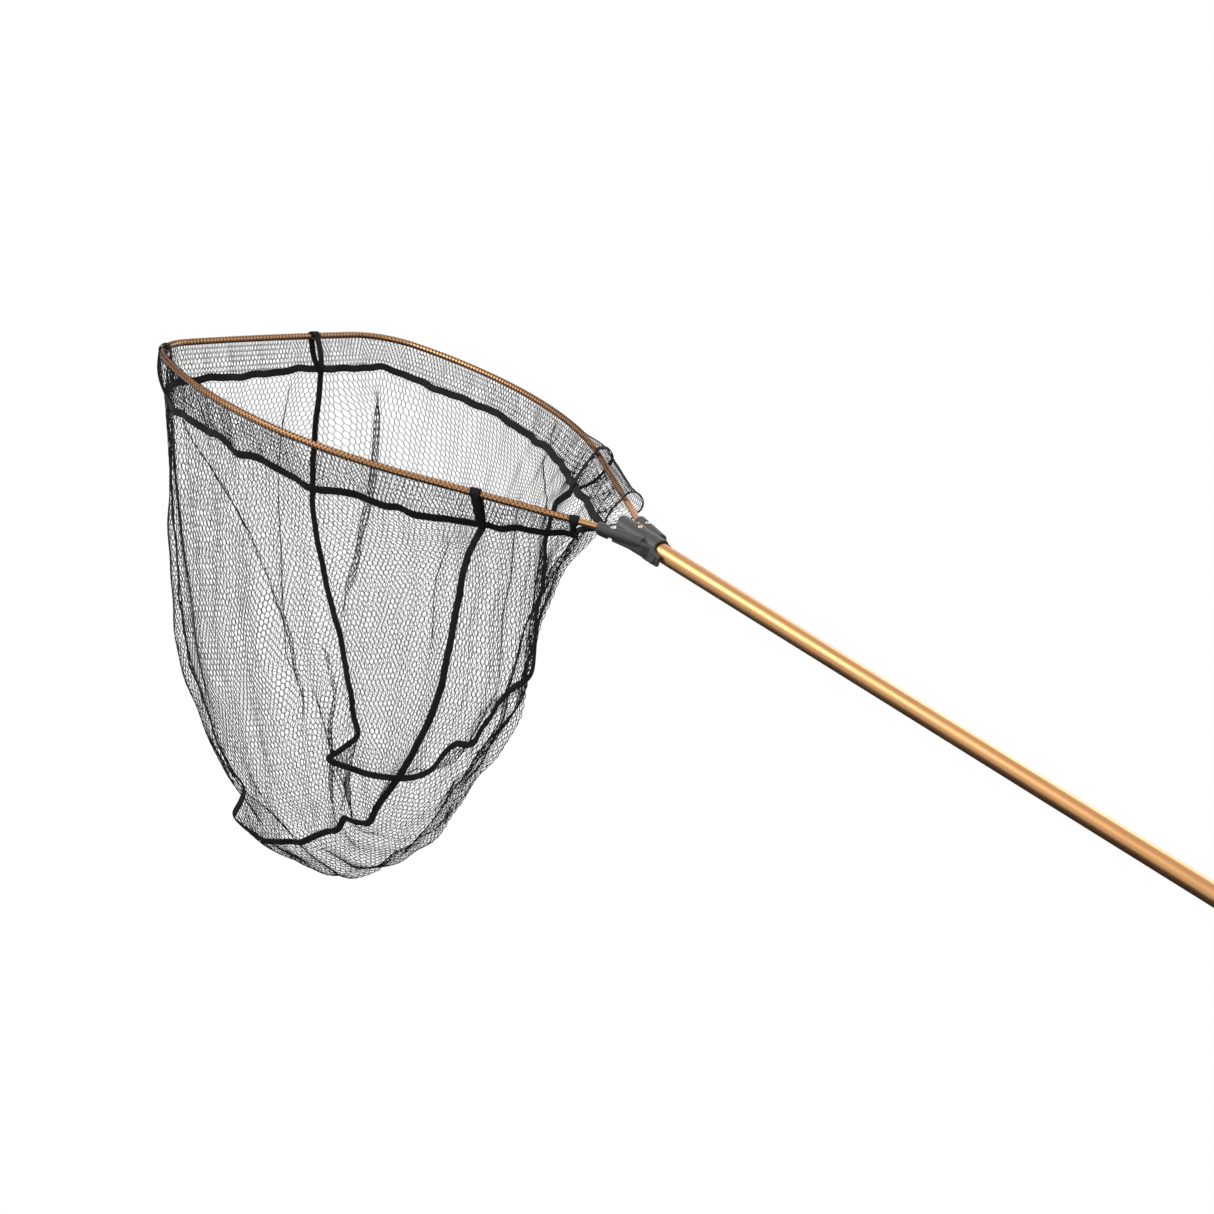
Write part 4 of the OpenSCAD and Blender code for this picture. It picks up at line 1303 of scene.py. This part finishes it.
class Net:
    """Netting, tapes, straps and cuffs of the bag."""

    def __init__(self, bag: Bag, wardrobe: Wardrobe) -> None:
        """Keeps the bag's shape, its knit and the finishes."""
        self.bag, self.rim, self.hoop, self.wardrobe = bag, bag.rim, bag.rim.hoop, wardrobe
        self.knit = Knit(bar_r=0.43, slant_r=0.34, jitter=0.28)
        self.gathered = Knit(pitch=5.6, bar=3.4, rise=3.2, bar_r=0.36, slant_r=0.34, jitter=0.2)
        self.keep = 0.06
        self.below_rod = 6.0
        self.sleeve_r, self.cuff_r, self.strap_r = 4.8, 5.4, 6.6
        self.flat_top, self.flat_skirt = 24.0, 84.0
        self.least_share = 0.305
        self.core = self.hoop.posture.handle(np.zeros(3)) + np.array([-480.0, 0, -120])
        self.axis = self.hoop.posture.hoop_normal
        self.anchor = self.hoop.posture.head(np.array([-300.0, 0, 0])) - self.axis * self.below_rod
        self.centre_cuts = (0.0, 0.36, 0.62, 1.0)
        self.folds = {
            Panel.NEAR: (
                Fold(((95, 5), (127, 25), (170, 56), (198, 85), (208, 170), (225, 240), (212, 330)),
                     5, 9, 6),
                Fold(((250, 300), (262, 400), (268, 480)), 5, 6, 4),
                Fold(((500, 60), (470, 180), (452, 300)), 6, 6, 5),
            ),
            Panel.FAR: (
                Fold(((84, 30), (60, 90), (46, 125), (20, 195), (5, 245), (-6, 290)), 18, 33, 14),
                Fold(((430, 20), (446, 120), (440, 220)), 7, 9, 6),
            ),
            Panel.CENTRE: (
                Fold(((89, 20), (94, 90), (106, 156), (116, 235), (118, 300), (106, 407), (92, 500)),
                     4, 6, 5),
                Fold(((160, 450), (150, 541), (114, 614), (60, 690)), 16, 28, 12),
                Fold(((-110, 560), (-60, 640), (-20, 720)), 7, 8, 6),
                Fold(((30, 800), (70, 880), (60, 960)), 7, 7, 6),
            ),
        }

    # ---- placing on the frame
    def height(self, p: Array) -> Array:
        """Height of points over the plane that the net folds towards."""
        return (p - self.anchor) @ self.axis

    def soft(self, obj: bpy.types.Object) -> bpy.types.Object:
        """Rides on the head, with a mesh of its own."""
        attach(obj, HEAD)
        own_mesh(obj)
        return obj

    def firm(self, obj: bpy.types.Object) -> bpy.types.Object:
        """Rides on the head as it is."""
        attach(obj, HEAD)
        return obj

    # ---- sections round the rod
    def hairpin(
        self, t: Array, c: Array, tight: float, depth: Array, out: Array, inward: Array,
        spread: float = 0.0,
    ) -> Array:
        """Point of a loop of cloth that hangs over the rod.

        The loop is a circle over the top and straight legs down to one end, each bowed by a
        sine. Where it is slack the circle grows, and rests on the rod with its lower inner
        side. c is the length along it from the top, positive outwards.

        Args:
            t: rim position.
            c: length from the top of the loop.
            tight: radius of the loop where it is tight on the rod.
            depth: distance from the rod's middle down to its end.
            out: bow of the outer leg.
            inward: bow of the inner leg.
            spread: half the distance between the legs at the end.
        """
        slack = self.slack(t)
        radius = tight + slack
        phi = np.arccos(np.clip(radius / depth, 0, 0.98))
        arc = radius * (np.pi - phi)
        leg = np.sqrt(depth**2 - radius**2)
        sign = np.sign(c)
        over = np.minimum(np.abs(c), arc) / radius
        u = np.clip((np.abs(c) - arc) / leg, 0, 1)
        touch_o, touch_h = radius * np.sin(over), radius * np.cos(over)
        o = touch_o * (1 - u) + spread * u
        h = touch_h * (1 - u) - depth * u
        bow = np.where(sign > 0, out, inward) * np.sin(np.pi * u)
        o = sign * (o + bow * np.sin(phi)) + 0.85 * slack * (1 - u)
        h = h + 0.5 * slack * (1 - u)
        swing = self.rim.sway(t) / depth
        return self.rim.section(
            t, o * np.cos(swing) - h * np.sin(swing), h * np.cos(swing) + o * np.sin(swing)
        )

    def slack(self, t: Array) -> Array:
        """Slack of the sleeve and the straps on the rod, large near the sleeve's far end."""
        return 5.5 * (1 - smoothstep(t, 170, 250)) + 2.5 * np.exp(-((t / 30) ** 2))

    def loop_half(self, tight: float, depth: Array, t: Array) -> Array:
        """Length of a loop from its top to its end."""
        radius = tight + self.slack(t)
        phi = np.arccos(np.clip(radius / depth, 0, 0.98))
        return radius * (np.pi - phi) + np.sqrt(depth**2 - radius**2)

    def bows(self, t: Array) -> tuple[Array, Array]:
        """Outer and inner bow of the sleeve's legs at t."""
        rear = self.bag.stations()["far_rear"]
        out = 3.2 + ripple(t, ((47, 1.2, 0.1), (23, 0.8, 0.6)))
        out = out + 4 * np.exp(-(((t - rear) / 26) ** 2)) + 3 * np.exp(-((t / 30) ** 2))
        inward = 2.0 + ripple(t, ((39, 0.8, 0.4), (19, 0.5, 0.2)))
        return out, inward

    # ---- pieces
    def sleeve(self) -> list[bpy.types.Object]:
        """Knitted sleeve over the rod, split at the plane that the net folds towards."""
        rim = self.rim
        tight = self.sleeve_r
        widest = float(self.loop_half(tight, np.array(rim.hang_length + 8), np.array(0.0)))
        ends, radii = self.gathered.strands(0, rim.sleeve_length, -widest, widest, seed=5)
        t, c = ends[..., 0], ends[..., 1]
        tm = np.clip(t, 0, rim.sleeve_length)
        depth = rim.hang(tm) + rim.drop(tm) + 1.5
        half = self.loop_half(tight, depth, tm)
        inside = (np.abs(c).mean(axis=1) < half.mean(axis=1)) & (t.mean(axis=1) > 0) & (
            t.mean(axis=1) < rim.sleeve_length
        )
        c = np.clip(c, -half, half)
        out, inward = self.bows(tm)
        steps = np.linspace(0, 1, 3)
        tt = mix(tm[:, :1], tm[:, 1:], steps)
        cc = mix(c[:, :1], c[:, 1:], steps)
        dd = mix(depth[:, :1], depth[:, 1:], steps)
        oo, ii = mix(out[:, :1], out[:, 1:], steps), mix(inward[:, :1], inward[:, 1:], steps)
        paths = self.hairpin(tt, cc, tight, dd, oo, ii)
        top = self.height(paths.mean(axis=1)) > 0
        share = self.gathered.area_share()
        length = rim.sleeve_length
        over = self.firm(strand_mesh("sleeve_over_rod", paths[inside & top], radii[inside & top]))
        skirt = self.soft(strand_mesh("sleeve_skirt", paths[inside & ~top], radii[inside & ~top]))
        for piece in (over, skirt):
            self.wardrobe.dress(piece, Finish.NETTING)
            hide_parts("net_sleeve")
        return [over, skirt]

    def panels(self) -> list[bpy.types.Object]:
        """Knitted panels of the bag, cut off at their seams."""
        made = []
        share = self.knit.area_share()
        for seed, panel in enumerate(Panel):
            cut = FlatCut(self.bag, panel, self.folds[panel])
            x0, x1 = float(cut.left.min()), float((cut.left + cut.width).max())
            ends, radii = self.knit.strands(x0, x1, 0, float(cut.depth[-1]), seed=11 + seed)
            x, y = ends[..., 0], ends[..., 1]
            p, q = cut.to_pq(x.mean(axis=1), y.mean(axis=1))
            inside = (p > 0) & (p < 1) & (q > 0) & (q < 1)
            paths = cut.place(x[inside], y[inside])
            radii, q = radii[inside], q[inside]
            if panel is not Panel.CENTRE:
                jobs = [(f"netting_{panel.value}", f"net_{panel.value}_panel", q >= 0, 0.0, 1.0)]
            else:
                jobs = [
                    (f"netting_{name}", f"net_{name}_panel", (q >= a) & (q < b), a, b)
                    for name, a, b in zip(("front", "bottom", "rear"), self.centre_cuts,
                                          self.centre_cuts[1:])
                ]
            for name, node, keep, a, b in jobs:
                obj = self.soft(strand_mesh(name, paths[keep], radii[keep]))
                self.wardrobe.dress(obj, Finish.NETTING)
                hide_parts(node)
                made.append(obj)
        return made

    def rim_band(self) -> bpy.types.Object:
        """Binding tape round the rim, folded over the netting's upper edge."""
        rim = self.rim
        t = np.linspace(0, rim.length, 900, endpoint=False)
        path = rim.edge(t, 0.0, rim.gap + rim.tape_w / 2)
        lower = rim.edge(t, 0.0, rim.gap + rim.tape_w)
        d = unit(np.roll(path, -1, axis=0) - np.roll(path, 1, axis=0))
        face = np.cross(d, unit(lower - path))
        obj = ribbon("rim_tape_band", path, face, rim.tape_w + 1.0, 1.5, closed=True)
        return self._taped(obj, "rim_tape")

    def _taped(self, obj: bpy.types.Object, node: str, firm: bool = False) -> bpy.types.Object:
        """Dresses a tape and puts it on the head."""
        (self.firm if firm else self.soft)(obj)
        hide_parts(node)
        return self.wardrobe.dress(obj, Finish.BINDING_TAPE)

    def seam_bands(self) -> list[bpy.types.Object]:
        """Binding tapes down the two seams, facing away from the bag's core and to their side."""
        made = []
        for name, node, panel, sign in (
            ("seam_band_near", "seam_tape_near", Panel.NEAR, -1.0),
            ("seam_band_far", "seam_tape_far", Panel.FAR, 1.0),
        ):
            u = np.linspace(-0.004, 1.004, 520)
            path = self.bag.seam(panel, u)
            face = unit(unit(path - self.core) + 1.8 * np.array([0, sign, 0]))
            path = path + face * (0.8 + ripple(u * 1300, ((97, 1.0, 0.2), (43, 0.7, 0.6))))[:, None]
            made.append(self._taped(ribbon(name, path, face, 9.0, 1.3), node))
        return made

    def _loop(
        self, name: str, node: str, at: float, tight: float, below: float,
        puff: tuple[float, float], spread: float, width: float, swell: float, thick: float,
    ) -> list[bpy.types.Object]:
        """Tape over the rod, in three pieces: a firm top and two soft legs.

        Args:
            name: start of the pieces' names.
            node: the node that they stand for.
            at: rim position.
            tight: radius over the rod where it is tight.
            below: how far the legs pass the sleeve's lower end.
            puff: how far the outer and inner leg stand off the sleeve.
            spread: half the distance between the legs' ends.
            width: width of the tape.
            swell: how much wider it is on top of the rod.
            thick: thickness.
        """
        rim, place = self.rim, np.array(at)
        depth = float(rim.hang(place) + rim.drop(place) + below)
        half = float(self.loop_half(tight, np.array(depth), place))
        c = np.linspace(-half, half, 161)
        top = len(c) // 2
        tt = np.full_like(c, at)
        out, inward = self.bows(tt)
        path = self.hairpin(
            tt, c, tight, np.full_like(c, depth), out + puff[0], inward + puff[1], spread
        )
        point, travel, _ = self.hoop.at(place + rim.far_start)
        d = unit(np.gradient(path, axis=0))
        face = np.cross(d, np.broadcast_to(travel, d.shape))
        face = face * np.sign(np.dot(face[top], path[top] - point))
        widths = width + swell * np.exp(-((c / 14) ** 2))
        above = np.nonzero(self.height(path) > -1.5)[0]
        first, last = above.min(), above.max() + 1
        made = []
        for part, cut in (
            ("top", slice(first, last)),
            ("inner", slice(0, first + 2)),
            ("outer", slice(last - 2, None)),
        ):
            tape = ribbon(f"{name}_{part}", path[cut], face[cut], widths[cut], thick)
            made.append(self._taped(tape, node, firm=part == "top"))
        return made

    def straps(self) -> list[bpy.types.Object]:
        """Strap loops that carry the bag's seams on the rod."""
        made = []
        for place, at in self.bag.stations().items():
            across, along = place.split("_")
            made += self._loop(
                f"strap_{along}_{across}", f"loop_{along}_{across}", at, self.strap_r,
                self.bag.band, (1.2, 0.8), 1.8, 9.5, 3.5, 1.3,
            )
        return made

    def cuffs(self) -> list[bpy.types.Object]:
        """Narrow tape round the sleeve's two open ends, and the near end's binding."""
        made = []
        for end, at, width in (("far", 1.0, 5.0), ("near", self.rim.sleeve_length - 3.0, 4.5)):
            made += self._loop(
                f"cuff_{end}", f"sleeve_end_{end}", at, self.cuff_r,
                2.0, (0.6, 0.6), 0.8, width, 0.0, 1.1,
            )
        return [*made, self.ferrule()]

    def ferrule(self) -> bpy.types.Object:
        """Tape wound round the rod at the sleeve's near end: a thick ring with soft edges."""
        half = self.hoop.half_length
        v = np.linspace(-1, 1, 15)
        s = 2 * half - self.rim.near_start + 1.0 + 5.0 * v
        point, travel, _ = self.hoop.at(s)
        up = np.broadcast_to(self.hoop.posture.hoop_normal, point.shape)
        swell = 5.0 + 1.6 * (1 - v**6) + 0.15 * np.cos(3 * np.pi * v)
        profile = circle(36)[None] * swell[:, None, None]
        verts, faces = sweep(point, np.cross(travel, up), up, profile)
        uv = np.stack(np.broadcast_arrays(5 * v[:, None], np.zeros((1, 36))), axis=-1)
        obj = new_mesh("cuff_near_ring", verts, faces, uv.reshape(-1, 2))
        return self._taped(obj, "sleeve_end_near", firm=True)

    def build(self) -> list[bpy.types.Object]:
        """Makes every soft piece."""
        tapes = [self.rim_band(), *self.seam_bands()]
        return [*tapes, *self.straps(), *self.cuffs(), *self.sleeve(), *self.panels()]


# ---------------------------------------------------------------- studio
@dataclass(frozen=True)
class Studio:
    """Camera, soft lamps and white surround."""

    eye: Triple = (0.78364, -1.88282, 0.70021)
    look: Triple = (-0.6777, 0.7158, -0.1684)
    lens: float = 65.24
    ambient: float = 0.55

    def camera(self) -> None:
        """Sets the camera."""
        data = bpy.data.cameras.new("camera")
        data.lens, data.sensor_width = self.lens, 36.0
        data.clip_start, data.clip_end = 0.05, 50.0
        cam = bpy.data.objects.new("camera", data)
        cam.location = self.eye
        cam.rotation_euler = Vector(self.look).to_track_quat("-Z", "Y").to_euler()
        bpy.context.scene.collection.objects.link(cam)
        bpy.context.scene.camera = cam

    def lamp(self, name: str, place: Triple, aim: Triple, size: float, watts: float) -> None:
        """Adds a square soft lamp that looks at a point."""
        data = bpy.data.lights.new(name, "AREA")
        data.shape, data.size, data.energy = "SQUARE", size, watts
        obj = bpy.data.objects.new(name, data)
        obj.location = place
        obj.rotation_euler = (Vector(aim) - Vector(place)).to_track_quat("-Z", "Y").to_euler()
        bpy.context.scene.collection.objects.link(obj)

    def flag(self, name: str, place: Triple, size: tuple[float, float]) -> None:
        """Adds a level dark card, seen only in reflections."""
        w, l = size[0] / 2, size[1] / 2
        mesh = bpy.data.meshes.new(name)
        mesh.from_pydata([(-w, -l, 0), (w, -l, 0), (w, l, 0), (-w, l, 0)], [], [(0, 1, 2, 3)])
        obj = bpy.data.objects.new(name, mesh)
        obj.location = place
        obj.visible_camera = False
        obj.visible_shadow = False
        bpy.context.scene.collection.objects.link(obj)
        felt = bpy.data.materials.new("felt")
        felt.use_nodes = True
        shader = felt.node_tree.nodes["Principled BSDF"]
        shader.inputs["Base Color"].default_value = (0.02, 0.02, 0.02, 1)
        shader.inputs["Roughness"].default_value = 0.9
        mesh.materials.append(felt)
        obj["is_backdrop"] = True

    def world(self) -> None:
        """White to the camera and in reflections; a plain grey surround for the rest."""
        world = bpy.data.worlds.new("surround")
        bpy.context.scene.world = world
        world.use_nodes = True
        tree = world.node_tree
        tree.nodes.clear()
        path = tree.nodes.new("ShaderNodeLightPath")
        seen = add_node(tree, "ShaderNodeMath",
                        {0: path.outputs["Is Camera Ray"], 1: path.outputs["Is Glossy Ray"]},
                        operation="MAXIMUM")
        seen = add_node(tree, "ShaderNodeMath",
                        {0: seen.outputs[0], 1: path.outputs["Is Transmission Ray"]},
                        operation="MAXIMUM")
        white = add_node(tree, "ShaderNodeBackground", {"Color": (1, 1, 1, 1), "Strength": 1.0})
        grey = add_node(tree, "ShaderNodeBackground", {"Color": (1, 1, 1, 1), "Strength": self.ambient})
        both = add_node(tree, "ShaderNodeMixShader",
                        {0: seen.outputs[0], 1: grey.outputs[0], 2: white.outputs[0]})
        add_node(tree, "ShaderNodeOutputWorld", {0: both.outputs[0]})

    def build(self) -> None:
        """Sets the camera, the lamps, the surround and the view."""
        self.camera()
        aim = (-1.2, 0.0, 0.2)
        self.lamp("key", (-2.2, -2.0, 2.6), aim, 1.8, 60)
        self.lamp("fill", (1.2, -2.6, 0.8), aim, 2.0, 18)
        self.lamp("back", (-1.0, 2.4, 1.8), aim, 1.6, 24)
        self.flag("flag_below", (-0.9, -1.1, -1.0), (5.0, 5.6))
        self.world()
        bpy.context.scene.view_settings.view_transform = "Standard"


def corners() -> list[list[float]]:
    """Box of what is shown, as plain lists."""
    return [[float(v) for v in corner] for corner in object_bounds()]


def main() -> None:
    """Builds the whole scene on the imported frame."""
    logging.basicConfig(level=logging.INFO, format="%(message)s")
    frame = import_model()
    Studio().build()
    posture = Posture()
    hoop = HoopLine(posture)
    wardrobe = Wardrobe(posture)
    pieces = Handle(posture, wardrobe).build(frame) + Spreader(hoop, wardrobe).build(frame)
    pieces += Net(Bag(Rim(hoop)), wardrobe).build()
    for piece in pieces:
        LOG.info("%s: %d faces", piece.name, len(piece.data.polygons))


if __name__ == "__main__":
    main()
